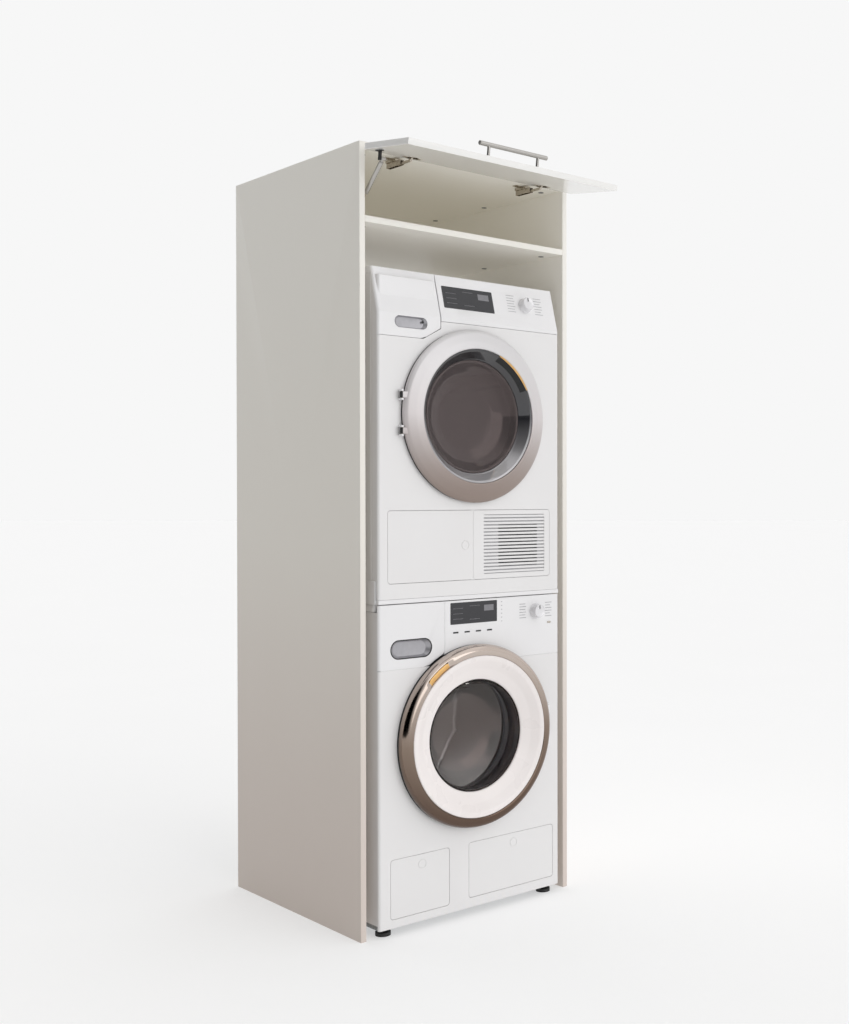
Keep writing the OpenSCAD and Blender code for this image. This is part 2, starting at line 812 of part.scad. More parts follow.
module dryer_door_bezel() {
    color("darkslategray") turned(dryer_door_z, [[dryer_glass_r + 0.5, wf - 1],
        [dryer_bezel_r - 0.5, wf - 28], [dryer_bezel_r - 0.5, wf - 24], [dryer_bezel_r + 10, wf - 18],
        [dryer_bezel_r + 10, wf - 2], [dryer_glass_r + 13, wf - 2], [dryer_glass_r + 6, wf + 2],
        [dryer_glass_r + 0.5, wf + 3]]);
}

module dryer_door_glass() {
    r = dryer_glass_r;
    color("dimgray", 0.5) turned(dryer_door_z, [[r, wf - 1], [r, wf + 4], [r - 30, wf + 34], [0, wf + 42],
        [0, wf + 38], [r - 32, wf + 30], [r - 6, wf + 2], [r - 6, wf - 1]]);
}

module dryer_heat_exchanger() {
    color("silver") box([-hw + 20, wf + 20, dryer_z + lid_t], [-30, wf + 360, dryer_z + 215]);
}

module dryer_motor() {
    motor_r = 60;
    z = dryer_z + lid_t + motor_r + 30;
    color("slategray") {
        rod_y(150, z, wf + 150, wf + 400, motor_r);
        for (y = [wf + 180, wf + 350]) box([110, y, dryer_z + lid_t], [190, y + 20, z - 30]);
    }
}

module dryer_drum() {
    color("silver") {
        drum_shell(dryer_door_z, dryer_drum_r, dryer_drum_y, dryer_drum_len, dryer_glass_r + 14);
        rod_y(0, dryer_door_z, dryer_drum_y + dryer_drum_len - 1, app_back - 12, 10);
    }
}

module dryer_flap() {
    color("white") service_flap([dl[0], dryer_split - gap, dl[2], dl[3]]);
}

module dryer_grille() {
    slots = 13;
    pitch = 7.2;
    x0 = 82;
    slot_w = 112;
    z0 = dl[2] + 20;
    color("white") difference() {
        box([dryer_split + gap, wf, dl[2]], [dl[1], wf + flap_t, dl[3]]);
        for (i = [0:slots - 1])
            box([x0, wf - 1, z0 + i * pitch], [x0 + slot_w, wf + flap_t + 1, z0 + i * pitch + pitch * 0.6]);
    }
}

side_panel_left();
side_panel_right();
ceiling_panel();
shelf_panel();
upper_back_panel();
rear_rail();
cam_fittings();
flap_panel();
flap_handle();
hinge_cups();
hinge_links();
hinge_arms();
strut_flap_bracket();
strut_side_bracket();
strut_tube();
strut_rod();
washer_casing();
rear_covers();
washer_base();
washer_worktop();
washer_front_panel();
washer_fascia();
washer_drawer();
washer_display();
washer_knob();
washer_power_key();
washer_door_ring();
washer_door_trim();
washer_door_glass();
door_hinges();
washer_door_seal();
washer_tub();
washer_drum();
washer_pulley();
washer_motor();
washer_motor_pulley();
washer_belt();
washer_counterweight();
washer_suspension();
washer_drain_pump();
washer_flap_left();
washer_flap_right();
washer_feet();
stacking_kit();
dryer_base();
dryer_casing();
dryer_motor();
dryer_lid();
dryer_front_panel();
dryer_fascia();
dryer_container();
dryer_display();
dryer_knob();
dryer_door_ring();
dryer_door_bezel();
dryer_door_glass();
dryer_heat_exchanger();
dryer_drum();
dryer_flap();
dryer_grille();
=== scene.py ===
"""Looks of a laundry cabinet that holds a tumble dryer stacked on a washing machine.

Laid out as an add-on and run as a script. Lengths in the shape functions are millimetres and are turned to
metres when a mesh is made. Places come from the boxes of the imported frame's nodes.
"""

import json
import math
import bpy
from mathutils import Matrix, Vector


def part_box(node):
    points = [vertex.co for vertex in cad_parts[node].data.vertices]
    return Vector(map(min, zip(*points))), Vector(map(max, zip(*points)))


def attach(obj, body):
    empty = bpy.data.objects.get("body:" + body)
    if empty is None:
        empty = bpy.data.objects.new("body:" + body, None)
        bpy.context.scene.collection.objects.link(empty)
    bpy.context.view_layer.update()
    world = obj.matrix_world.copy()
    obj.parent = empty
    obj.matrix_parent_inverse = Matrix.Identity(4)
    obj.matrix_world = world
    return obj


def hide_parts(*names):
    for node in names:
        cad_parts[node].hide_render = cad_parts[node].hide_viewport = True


bl_info = {
    "name": "Laundry stack looks",
    "version": (1, 0, 0),
    "blender": (4, 5, 0),
    "location": "View3D > Sidebar > Laundry",
    "description": "Builds the visible surfaces of a laundry cabinet with a stacked dryer and washer",
    "category": "Object",
}

import bmesh
import bpy
import numpy as np
from bpy.props import FloatProperty, PointerProperty
from mathutils import Matrix, Vector

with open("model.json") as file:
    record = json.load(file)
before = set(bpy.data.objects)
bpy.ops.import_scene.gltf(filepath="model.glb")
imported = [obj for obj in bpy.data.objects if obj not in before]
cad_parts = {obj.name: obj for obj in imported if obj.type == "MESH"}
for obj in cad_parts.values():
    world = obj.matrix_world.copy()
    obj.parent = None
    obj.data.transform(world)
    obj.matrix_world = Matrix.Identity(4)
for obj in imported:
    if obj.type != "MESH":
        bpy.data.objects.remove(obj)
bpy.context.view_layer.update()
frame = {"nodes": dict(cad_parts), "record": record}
RECORD = frame["record"]
BODY_OF = {n: b for b, nodes in RECORD["behaviour"]["bodies"].items() for n in nodes}
JOINTS = {j["name"]: j for j in RECORD["behaviour"]["joints"]}
MM = 0.001


def box_mm(node):
    """The lowest and highest corner of a frame node, in millimetres."""
    low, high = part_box(node)
    return np.array(low) / MM, np.array(high) / MM


# ---- Places, read once from the frame ----

PANEL_LOW, PANEL_HIGH = box_mm("washer_front_panel")
HW = PANEL_HIGH[0]
FRONT = PANEL_LOW[1]
FOOT = PANEL_LOW[2]
CASE_BACK = box_mm("washer_casing")[1][1]
WASHER_DOOR = JOINTS["washer_door_hinge"]["pos_m"][2] / MM
WASHER_RING = -box_mm("washer_door_ring")[0][0]
WASHER_TRIM = box_mm("washer_door_trim")[1][0]
WASHER_GLASS = box_mm("washer_door_glass")[1][0]
PORTHOLE = WASHER_GLASS + 30
DRAWER_LOW, DRAWER_HIGH = box_mm("washer_drawer")
FASCIA_LOW, FASCIA_HIGH = box_mm("washer_fascia")
DRYER_LOW = box_mm("dryer_base")[0][2]
DRYER_TOP = box_mm("dryer_lid")[1][2]
DRYER_DOOR = JOINTS["dryer_door_hinge"]["pos_m"][2] / MM
DRYER_RING = box_mm("dryer_door_ring")[1][0]
DRYER_GLASS = box_mm("dryer_door_glass")[1][0]
DRYER_BEZEL = box_mm("dryer_door_bezel")[1][0] - 10
CONTAINER_LOW, CONTAINER_HIGH = box_mm("dryer_container")
DFASCIA_LOW, DFASCIA_HIGH = box_mm("dryer_fascia")
KNEE = DFASCIA_LOW[2] + 9
LEAN = DFASCIA_HIGH[1] - DFASCIA_LOW[1]
SLANT = math.atan2(LEAN, DRYER_TOP - KNEE)
CABINET_FRONT = box_mm("side_panel_left")[0][1]
ROLL = 7.0
SIDE_X = HW - ROLL
SHEET_T = 3.0
SHOW_GAP = 0.9
CUP_R, CUP_DEEP = 17.5, 11.5
HINGE_HALF, KNUCKLE, EAR, PIN_OUT = 46.0, 16.0, 5.0, 12.0


# ---- Colour and material helpers ----

def srgb(code):
    """A six-digit sRGB hex colour as linear RGBA."""
    parts = [int(code[i:i + 2], 16) / 255 for i in (0, 2, 4)]
    return tuple(c / 12.92 if c <= 0.04045 else ((c + 0.055) / 1.055) ** 2.4 for c in parts) + (1.0,)


def put(tree, kind, inputs=None, **settings):
    """Adds a node with its settings; inputs maps a socket to a value or to another node's output."""
    node = tree.nodes.new(kind)
    for name, value in settings.items():
        setattr(node, name, value)
    for socket, value in (inputs or {}).items():
        if isinstance(value, bpy.types.NodeSocket):
            tree.links.new(value, node.inputs[socket])
        else:
            node.inputs[socket].default_value = value
    return node


def surface(name, shader, pattern=None):
    """A new material with one Principled shader; pattern(tree, shader, where) adds its texture nodes."""
    mat = bpy.data.materials.get(name)
    if mat:
        return mat
    mat = bpy.data.materials.new(name)
    mat.use_nodes = True
    tree = mat.node_tree
    tree.nodes.clear()
    out = put(tree, "ShaderNodeOutputMaterial")
    bsdf = put(tree, "ShaderNodeBsdfPrincipled", shader)
    tree.links.new(bsdf.outputs["BSDF"], out.inputs["Surface"])
    where = put(tree, "ShaderNodeTexCoord")
    if pattern:
        pattern(tree, bsdf, where)
    return mat


def grain(tree, where, size_mm, detail=2.0, stretch=(1, 1, 1)):
    """A noise height over object coordinates."""
    placed = put(tree, "ShaderNodeMapping", {"Vector": where.outputs["Object"], "Scale": stretch})
    noise = put(tree, "ShaderNodeTexNoise", {"Vector": placed.outputs["Vector"], "Scale": 1 / (size_mm * MM),
                                             "Detail": detail})
    return noise.outputs["Fac"]


def mottle(tree, bsdf, where, dark, light, size_mm, detail=3.0, stretch=(1, 1, 1)):
    """Colour that drifts between two tones over about size_mm; returns the noise's factor."""
    factor = grain(tree, where, size_mm, detail, stretch)
    tone = put(tree, "ShaderNodeMix", {"Factor": factor, "A": srgb(dark), "B": srgb(light)}, data_type="RGBA")
    tree.links.new(tone.outputs["Result"], bsdf.inputs["Base Color"])
    return factor


def by_height(tree, bsdf, where, z, r, low, middle, high):
    """Colour that runs from low to high through middle as height goes from z - r to z + r."""
    axes = put(tree, "ShaderNodeSeparateXYZ", {"Vector": where.outputs["Object"]})
    up = put(tree, "ShaderNodeMapRange", {"Value": axes.outputs["Z"], "From Min": (z - r) * MM,
                                          "From Max": (z + r) * MM}, interpolation_type="SMOOTHSTEP")
    ramp = put(tree, "ShaderNodeValToRGB", {"Fac": up.outputs["Result"]})
    ramp.color_ramp.elements[0].color = srgb(low)
    ramp.color_ramp.elements[1].color = srgb(high)
    ramp.color_ramp.elements.new(0.5).color = srgb(middle)
    tree.links.new(ramp.outputs["Color"], bsdf.inputs["Base Color"])


def rough_range(tree, bsdf, factor, low, high):
    """Roughness that runs from low to high with a factor."""
    spread = put(tree, "ShaderNodeMapRange", {"Value": factor, "To Min": low, "To Max": high})
    tree.links.new(spread.outputs["Result"], bsdf.inputs["Roughness"])


def relief(tree, bsdf, height, depth_mm, strength):
    """Bump of a given depth from a height."""
    bump = put(tree, "ShaderNodeBump", {"Height": height, "Distance": depth_mm * MM, "Strength": strength})
    tree.links.new(bump.outputs["Normal"], bsdf.inputs["Normal"])


def drifting(name, shader, dark, light, size_mm, rough=None, bump=None):
    """A material whose tone drifts between two colours, with a roughness that follows and a fine bump.

    rough is the lowest and highest roughness; bump is the grain's size and depth in millimetres, and strength.
    """
    def pattern(tree, bsdf, where):
        factor = mottle(tree, bsdf, where, dark, light, size_mm)
        if rough:
            rough_range(tree, bsdf, factor, *rough)
        if bump:
            relief(tree, bsdf, grain(tree, where, bump[0]), *bump[1:])
    return surface(name, shader, pattern)


# ---- Materials, each named for the real material and its process ----

def melamine_board():
    """Pearl-finish melamine on chipboard: pale, with a fine pebble, and painted shade that makes it darker and
    warmer towards the floor.

    The faint emission stands for the light that a pale room sends into the open compartments.
    """
    def pattern(tree, bsdf, where):
        # Painted shade: the colour grows darker and warmer towards the floor, where less light reaches the
        # boards
        by_height(tree, bsdf, where, 1000, 1000, "C9BDB7", "DEDAD4", "E5E3DE")
        rough_range(tree, bsdf, grain(tree, where, 160), 0.36, 0.46)
        relief(tree, bsdf, grain(tree, where, 2.2), 0.05, 0.25)
    return surface("melamine_board",
                   {"IOR": 1.5, "Emission Color": srgb("FFF6DE"), "Emission Strength": 0.07},
                   pattern)


def lacquered_board():
    """Sprayed and polished gloss lacquer: a faint wide ripple bends what it mirrors."""
    return drifting("lacquered_board", {"IOR": 1.5, "Coat Weight": 0.4, "Coat Roughness": 0.05},
                    "ECEBE8", "F1F0EE", 220, (0.10, 0.16), (26, 0.05, 0.12))


def enamelled_sheet():
    """Baked white enamel on pressed steel: glossy, with the orange peel of spraying."""
    return drifting("enamelled_sheet", {"IOR": 1.5, "Coat Weight": 0.25, "Coat Roughness": 0.08},
                    "E3E1E1", "E7E6E6", 200, (0.20, 0.28), (3.0, 0.03, 0.18))


def moulded_white():
    """Injection-moulded white ABS: a touch warmer and softer than the enamel beside it."""
    return drifting("moulded_white", {"IOR": 1.53, "Coat Weight": 0.3, "Coat Roughness": 0.1},
                    "E6E5E6", "EAE9EA", 120, (0.26, 0.34), (1.2, 0.02, 0.2))


def pearl_white():
    """Satin white back-painted ring of a door: smooth, with a soft clear coat."""
    return drifting("pearl_white", {"IOR": 1.5, "Coat Weight": 0.5, "Coat Roughness": 0.06},
                    "EDE6E4", "EFE9E7", 90, (0.24, 0.32), (8, 0.02, 0.1))


def brushed_stainless():
    """Stainless steel brushed along its length: grey, with streaks that stretch the highlight."""
    def pattern(tree, bsdf, where):
        f = mottle(tree, bsdf, where, "A8A5A1", "C4C1BD", 0.9, 2.0, (0.04, 1, 1))
        rough_range(tree, bsdf, f, 0.24, 0.36)
        relief(tree, bsdf, f, 0.02, 0.3)
    return surface("brushed_stainless", {"Metallic": 1.0, "Anisotropic": 0.4}, pattern)


def plated_steel():
    """Nickel-plated pressed steel: bright and slightly yellow, with small dull patches."""
    return drifting("plated_steel", {"Metallic": 1.0},
                    "A89F92", "C9C2B6", 9, (0.18, 0.34), (1.0, 0.01, 0.3))


def bright_chrome():
    """Champagne chrome plating, near-mirror, with a painted reflection of a dark brown floor that darkens and
    browns it towards its foot.
    """
    def pattern(tree, bsdf, where):
        # Painted reflection: the darker brown towards the ring's foot stands for a dark brown floor mirrored
        # in the chrome
        by_height(tree, bsdf, where, WASHER_DOOR, WASHER_RING, "645349", "8A7A6E", "C6B9B0")
        rough_range(tree, bsdf, grain(tree, where, 60), 0.10, 0.16)
        relief(tree, bsdf, grain(tree, where, 22), 0.03, 0.15)
    return surface("bright_chrome", {"Metallic": 1.0}, pattern)


def satin_silver():
    """Satin silver metallic lacquer with a painted dark reflection towards its foot: wide soft highlights,
    fine flake.
    """
    def pattern(tree, bsdf, where):
        # Painted reflection: the ring is painted greyish brown towards its foot
        by_height(tree, bsdf, where, DRYER_DOOR, DRYER_RING, "8F8078", "D0CACA", "D6D4D5")
        rough_range(tree, bsdf, grain(tree, where, 9), 0.34, 0.44)
        relief(tree, bsdf, grain(tree, where, 0.8), 0.01, 0.2)
    return surface("satin_silver", {"Metallic": 0.3, "Coat Weight": 0.1, "Coat Roughness": 0.2}, pattern)


def copper_accent():
    """Anodised copper-coloured insert in a finger recess: warm and softly reflecting."""
    return drifting("copper_accent", {"Metallic": 0.7},
                    "D9A560", "F0C88A", 14, (0.25, 0.35))


def polished_anthracite():
    """High-gloss anthracite moulding: dark, with sharp pale reflections and a painted pale reflection towards
    its foot.
    """
    def pattern(tree, bsdf, where):
        # Painted reflection: the lower part of the bezel is painted pale grey
        by_height(tree, bsdf, where, DRYER_DOOR, DRYER_BEZEL, "ABA9AB", "38383C", "363537")
        rough_range(tree, bsdf, grain(tree, where, 70), 0.06, 0.12)
        relief(tree, bsdf, grain(tree, where, 30), 0.03, 0.1)
    return surface("polished_anthracite", {"IOR": 1.55, "Metallic": 0.35, "Coat Weight": 0.8,
                                           "Coat Roughness": 0.04}, pattern)


def tinted_glass():
    """Pressed glass with a grey-brown tint, faintly wavy from the mould."""
    def pattern(tree, bsdf, where):
        relief(tree, bsdf, grain(tree, where, 45), 0.25, 0.25)
    return surface("tinted_glass", {"Base Color": srgb("8A8080"), "IOR": 1.45, "Roughness": 0.08,
                                    "Specular Tint": srgb("E2CCC8"), "Transmission Weight": 0.72}, pattern)


def clear_glass():
    """Pressed borosilicate bowl: clear with a slight grey cast."""
    def pattern(tree, bsdf, where):
        relief(tree, bsdf, grain(tree, where, 38), 0.4, 0.3)
    return surface("clear_glass", {"Base Color": srgb("E6E1DF"), "IOR": 1.45, "Roughness": 0.01,
                                   "Specular Tint": srgb("D2B4AC"), "Transmission Weight": 1.0}, pattern)


def drum_steel():
    """Stainless drum sheet pressed into small cushions, each with a pierced hole."""
    def pattern(tree, bsdf, where):
        cell = 11.0 * MM
        placed = put(tree, "ShaderNodeMapping",
                     {"Vector": where.outputs["UV"], "Rotation": (0, 0, math.pi / 4)})
        cells = put(tree, "ShaderNodeTexVoronoi", {"Vector": placed.outputs["Vector"], "Scale": 1 / cell,
                                                   "Randomness": 0.0}, feature="F1", voronoi_dimensions="2D")
        hole = put(tree, "ShaderNodeMapRange", {"Value": cells.outputs["Distance"], "From Min": 0.11,
                                                "From Max": 0.16})
        sheet = put(tree, "ShaderNodeMix", {"Factor": grain(tree, where, 60, 6.0), "A": srgb("3A2C2B"),
                                            "B": srgb("D0BEB6")}, data_type="RGBA")
        tone = put(tree, "ShaderNodeMix", {"Factor": hole.outputs["Result"], "A": srgb("1E1B1B"),
                                           "B": sheet.outputs["Result"]}, data_type="RGBA")
        tree.links.new(tone.outputs["Result"], bsdf.inputs["Base Color"])
        relief(tree, bsdf, cells.outputs["Distance"], 1.6, 0.7)
    return surface("drum_steel", {"Metallic": 0.6, "Roughness": 0.34}, pattern)


def pressed_stainless():
    """Plain stainless sheet inside a drum: smooth with faint drawing marks."""
    def pattern(tree, bsdf, where):
        f = mottle(tree, bsdf, where, "9A8D88", "C9BDB7", 30, 4.0, (1, 0.2, 1))
        rough_range(tree, bsdf, f, 0.2, 0.32)
        relief(tree, bsdf, f, 0.05, 0.2)
    return surface("pressed_stainless", {"Metallic": 0.75}, pattern)


def moulded_grey():
    """Grey EPDM rubber or filled plastic: matte, slightly mottled."""
    return drifting("moulded_grey", {"IOR": 1.5},
                    "6E7072", "85878A", 18, (0.5, 0.65), (0.9, 0.05, 0.4))


def galvanised_steel():
    """Hot-dip galvanised sheet: grey with the crystals of the zinc."""
    def pattern(tree, bsdf, where):
        cells = put(tree, "ShaderNodeTexVoronoi", {"Vector": where.outputs["Object"], "Scale": 1 / (14 * MM)})
        tone = put(tree, "ShaderNodeMix", {"Factor": cells.outputs["Color"], "A": srgb("8B8F92"),
                                           "B": srgb("A9ADB0")}, data_type="RGBA")
        tree.links.new(tone.outputs["Result"], bsdf.inputs["Base Color"])
        rough_range(tree, bsdf, cells.outputs["Distance"], 0.35, 0.55)
    return surface("galvanised_steel", {"Metallic": 0.9}, pattern)


def cast_aluminium():
    """Die-cast aluminium left as cast: dull grey with a fine pebble."""
    return drifting("cast_aluminium", {"Metallic": 0.9},
                    "8D8F92", "A5A7AA", 5, (0.42, 0.58), (1.4, 0.1, 0.4))


def cast_ballast():
    """Cast concrete ballast: pale grey, pitted."""
    def pattern(tree, bsdf, where):
        f = mottle(tree, bsdf, where, "8B8A86", "A6A49F", 22, 6.0)
        rough_range(tree, bsdf, f, 0.8, 0.95)
        relief(tree, bsdf, grain(tree, where, 4, 5.0), 0.8, 0.6)
    return surface("cast_ballast", {}, pattern)


def black_rubber():
    """Black moulded rubber or nylon: matte with a grey bloom."""
    return drifting("black_rubber", {},
                    "161616", "2A2A2A", 7, (0.5, 0.7), (0.7, 0.05, 0.4))


def black_glass():
    """Glossy smoked display window."""
    return drifting("black_glass", {"IOR": 1.5, "Specular IOR Level": 0.2},
                    "100E10", "151315", 40, (0.08, 0.14))


def grip_grey():
    """Silver-grey lacquered finger dish: satin, a little darker than the panel round it."""
    return drifting("grip_grey", {"Metallic": 0.5},
                    "A3A2A6", "B2B1B5", 12, (0.25, 0.35))


def plated_knob():
    """Metallised knob cap: pale satin metal over plastic."""
    return drifting("plated_knob", {"Metallic": 0.25},
                    "DCDBDD", "E6E5E7", 3, (0.2, 0.3))


def grey_print():
    """Grey print and primer: the marks on a control panel, and the backs of the service flaps, whose edges
    also stand as painted shade in the gaps round them.
    """
    return drifting("grey_print", {"Roughness": 0.5},
                    "ABAAAD", "B7B6B9", 5)


def display_print():
    """Grey marks printed behind a display's smoked window."""
    return drifting("display_print", {"Roughness": 0.6},
                    "77767A", "87868A", 6)


# ---- Shapes: every function returns (points, quads, paint), with points in millimetres ----

def grid(points, wrap_u=False, wrap_v=False, paint=0):
    """Quads over a sheet of points indexed by two parameters; paint is a material index or one per cell."""
    nu, nv = points.shape[:2]
    u = np.arange(nu if wrap_u else nu - 1)[:, None]
    v = np.arange(nv if wrap_v else nv - 1)[None, :]
    u2, v2 = (u + 1) % nu, (v + 1) % nv
    quads = np.stack([u * nv + v, u2 * nv + v, u2 * nv + v2, u * nv + v2], -1)
    paint = np.broadcast_to(np.asarray(paint), quads.shape[:2])
    return points.reshape(-1, 3), quads.reshape(-1, 4), paint.reshape(-1)


def loft(loops, caps=True, around=False, paint=0):
    """A skin through equal loops; caps closes both ends at their middles, around joins last to first."""
    rows = list(loops)
    if caps:
        rows = [np.broadcast_to(rows[0].mean(0), rows[0].shape)] + rows
        rows = rows + [np.broadcast_to(rows[-1].mean(0), rows[-1].shape)]
    return grid(np.stack(rows), around, True, paint)


def soften(points, reach, steps=5, closed=True):
    """Each corner of an outline becomes a quadratic curve that starts and ends reach away from it."""
    points = np.asarray(points, float)
    t = np.linspace(0, 1, steps)[:, None]
    out = []
    for i, corner in enumerate(points):
        if not closed and i in (0, len(points) - 1):
            out.append(corner[None])
            continue
        before, after = points[i - 1] - corner, points[(i + 1) % len(points)] - corner
        a = corner + before * min(reach / max(np.linalg.norm(before), 1e-9), 0.48)
        b = corner + after * min(reach / max(np.linalg.norm(after), 1e-9), 0.48)
        out.append((1 - t) ** 2 * a + 2 * t * (1 - t) * corner + t ** 2 * b)
    return np.concatenate(out)


def lathe(profile, z, segments=160, paint=0):
    """A [radius, y] profile turned about the Y axis through height z: x = r cos a, z = r sin a."""
    profile = np.asarray(profile, float)
    a = np.linspace(0, 2 * math.pi, segments, endpoint=False)[None, :]
    r, y = profile[:, :1], profile[:, 1:]
    points = np.stack([r * np.cos(a), y + 0 * a, z + r * np.sin(a)], -1)
    return grid(points, True, True, paint)


def shifted(profile):
    """A [radius, y] profile with y measured from the machines' front."""
    return np.asarray(profile, float) + [0, FRONT]


def rounded_rect(a0, a1, b0, b1, r, per_corner=6, per_side=6):
    """A rectangle's outline with circular corners, the same count of points whatever its size."""
    r = max(min(r, (a1 - a0) / 2, (b1 - b0) / 2), 1e-3)
    out = []
    t = np.linspace(0, math.pi / 2, per_corner)
    centres = [(a1 - r, b1 - r, 0), (a0 + r, b1 - r, 1), (a0 + r, b0 + r, 2), (a1 - r, b0 + r, 3)]
    for ca, cb, k in centres:
        angle = t + k * math.pi / 2
        out.append(np.stack([ca + r * np.cos(angle), cb + r * np.sin(angle)], -1))
    loop = []
    for i, arc in enumerate(out):
        nxt = out[(i + 1) % 4][0]
        s = np.linspace(0, 1, per_side + 2)[1:-1, None]
        loop += [arc, arc[-1] * (1 - s) + nxt * s]
    return np.concatenate(loop)


def pill(x0, x1, z0, z1):
    """A slot's outline with half-round ends."""
    return rounded_rect(x0, x1, z0, z1, (z1 - z0) / 2, 12, 8)


def place(loop, at, axis):
    """Puts a flat outline into space at a distance along an axis; 0, 1, 2 are X, Y, Z."""
    return np.insert(np.asarray(loop, float), axis, at, axis=1)


def slab(low, high, axis, corner=2.0, edge=0.8, paint=0):
    """A board whose thin way is along axis: rounded outline, and both faces' edges rolled over by edge."""
    others = [i for i in range(3) if i != axis]
    (a0, b0), (a1, b1) = [(c[others[0]], c[others[1]]) for c in (low, high)]
    # The first loop lies flat inside the rolled edge, which keeps the face's shading even
    loops = [(edge + 1.0, low[axis])]
    for t in np.linspace(0, math.pi / 2, 4):
        inset, rise = edge * (1 - math.sin(t)), edge * (1 - math.cos(t))
        loops.append((inset, low[axis] + rise))
    rows = loops + [(i, high[axis] - (at - low[axis])) for i, at in reversed(loops)]
    return loft([place(rounded_rect(a0 + i, a1 - i, b0 + i, b1 - i, corner - i), at, axis) for i, at in rows],
                paint=paint)


def outline(points, step=12.0):
    """A closed polygon's outline with extra points along its sides, about step apart."""
    points = np.asarray(points, float)
    out = []
    for p, q in zip(points, np.roll(points, -1, axis=0)):
        n = max(int(np.linalg.norm(q - p) / step), 1)
        s = np.arange(n)[:, None] / n
        out.append(p + (q - p) * s)
    return np.concatenate(out)


def circle_facing(loop, centre, r):
    """Points on a circle, each at the angle of the outline's point with the same index."""
    d = np.asarray(loop) - centre
    return centre + r * d / np.linalg.norm(d, axis=1, keepdims=True)


def clear_of(loop, centre, r):
    """An outline pushed out of a circle, radially."""
    d = np.asarray(loop) - centre
    far = np.linalg.norm(d, axis=1, keepdims=True)
    return np.where(far < r, centre + d / far * r, loop)


def framed_tile(outer, inner, y, depth, lip, paint=0):
    """A flat sheet in front view with a hole; the hole's rim is rolled in by lip and returned to depth."""
    d = inner - outer.mean(0)
    d = d / np.linalg.norm(d, axis=1, keepdims=True)
    rows = [place(outer, y + depth, 1), place(outer, y, 1), place(inner + d * lip, y, 1)]
    for t in np.linspace(0.3, math.pi / 2, 4):
        rows.append(place(inner + d * lip * (1 - math.sin(t)), y + lip * (1 - math.cos(t)), 1))
    rows.append(place(inner, y + depth, 1))
    return loft(rows, caps=False, around=True, paint=paint)


def dished(loop, centre, y, depth, paint=0, thick=1.2):
    """A finger dish: an outline that shrinks towards its middle as it sinks, with a flat floor."""
    rows = []
    for t in np.linspace(0, 1, 8):
        shrink = 0.22 * (1 - math.cos(t * math.pi / 2))
        rows.append(place(loop + (centre - loop) * shrink, y + depth * math.sin(t * math.pi / 2), 1))
    back = [place(loop + (centre - loop) * 0.2, y + depth + thick, 1), place(loop, y + thick, 1)]
    middles = [np.broadcast_to(np.insert(centre, 1, y + at), rows[0].shape) for at in (depth, depth + thick)]
    return grid(np.stack(rows + middles + back), True, True, paint)


def half_board(x_out, cup_x, cup_z, y, z, edge):
    """Half of the flap board, from its middle to x_out, with a hinge cup's hollow in its inner face."""
    t = np.linspace(0, math.pi / 2, 4)
    rolls = [(edge + 1.0, 0.0)] + list(zip(edge * (1 - np.sin(t)), edge * (1 - np.cos(t))))
    rows = []
    for way, start in ((1, y[0]), (-1, y[1])):
        for inset, rise in rolls[::way]:
            x0, x1 = sorted((0.0, x_out - math.copysign(inset, x_out)))
            loop = rounded_rect(x0, x1, z[0] + inset, z[1] - inset, 0.3, 4, 24)
            rows.append(place(loop, start + way * rise, 1))
    circle = circle_facing(np.delete(rows[-1], 1, axis=1), np.array([cup_x, cup_z]), CUP_R)
    return loft(rows + [place(circle, y[1], 1), place(circle, y[1] - CUP_DEEP, 1)])


def edge_roll(side, z0, z1, r=ROLL, thick=1.6):
    """The rounded upright corner of a sheet: a quarter circle from the front to the side, run up in z."""
    t = np.linspace(0, math.pi / 2, 9)
    outer = np.stack([np.sin(t), 1 - np.cos(t)], -1) * r
    inner = np.stack([np.sin(t), np.cos(t)], -1)
    inner = np.stack([inner[:, 0] * (r - thick), r - inner[:, 1] * (r - thick)], -1)
    ring = np.concatenate([outer, inner[::-1]])
    loop = np.stack([side * (HW - r + ring[:, 0]), FRONT + ring[:, 1]], -1)
    return loft([place(loop, z0, 2), place(loop, z1, 2)])


def bent_case(y0, z0, z1, r=10.0, thick=1.2):
    """A sheet bent round both sides and the back: an open outline with rounded rear corners, run up in z."""
    path = [(-HW, y0), (-HW, CASE_BACK), (HW, CASE_BACK), (HW, y0)]
    inner = [(-HW + thick, y0), (-HW + thick, CASE_BACK - thick), (HW - thick, CASE_BACK - thick),
             (HW - thick, y0)]
    ring = np.concatenate([soften(path, r, 6, False), soften(inner, r, 6, False)[::-1]])
    return grid(np.stack([place(ring, z0, 2), place(ring, z1, 2)]), False, True)


def leaned(patch):
    """Takes an upright front patch to the leaning panel: a turn about the knee line by the slant."""
    points, quads, paint = patch
    dy, dz = points[:, 1] - FRONT, points[:, 2] - KNEE
    c, s = math.cos(SLANT), math.sin(SLANT)
    return np.stack([points[:, 0], FRONT + dy * c + dz * s, KNEE - dy * s + dz * c], -1), quads, paint


def moved(patch, shift):
    """A patch shifted by a vector."""
    return patch[0] + np.asarray(shift, float), patch[1], patch[2]


def painted(patch, paint):
    """The same patch with another material index."""
    return patch[0], patch[1], np.full(len(patch[1]), paint)


# ---- Making objects ----

def weld(points, quads, paint):
    """Joins equal points of one patch, and turns quads that lost a corner into triangles."""
    unique, back = np.unique(np.round(points, 4), axis=0, return_inverse=True)
    quads = back.reshape(-1)[quads]
    same = quads == np.roll(quads, -1, axis=1)
    whole = same.sum(1) == 0
    faces = quads[whole].tolist()
    kinds = list(paint[whole])
    for k in range(4):
        rows = (same.sum(1) == 1) & same[:, k]
        keep = [i for i in range(4) if i != (k + 1) % 4]
        faces += quads[rows][:, keep].tolist()
        kinds += list(paint[rows])
    return unique, faces, kinds


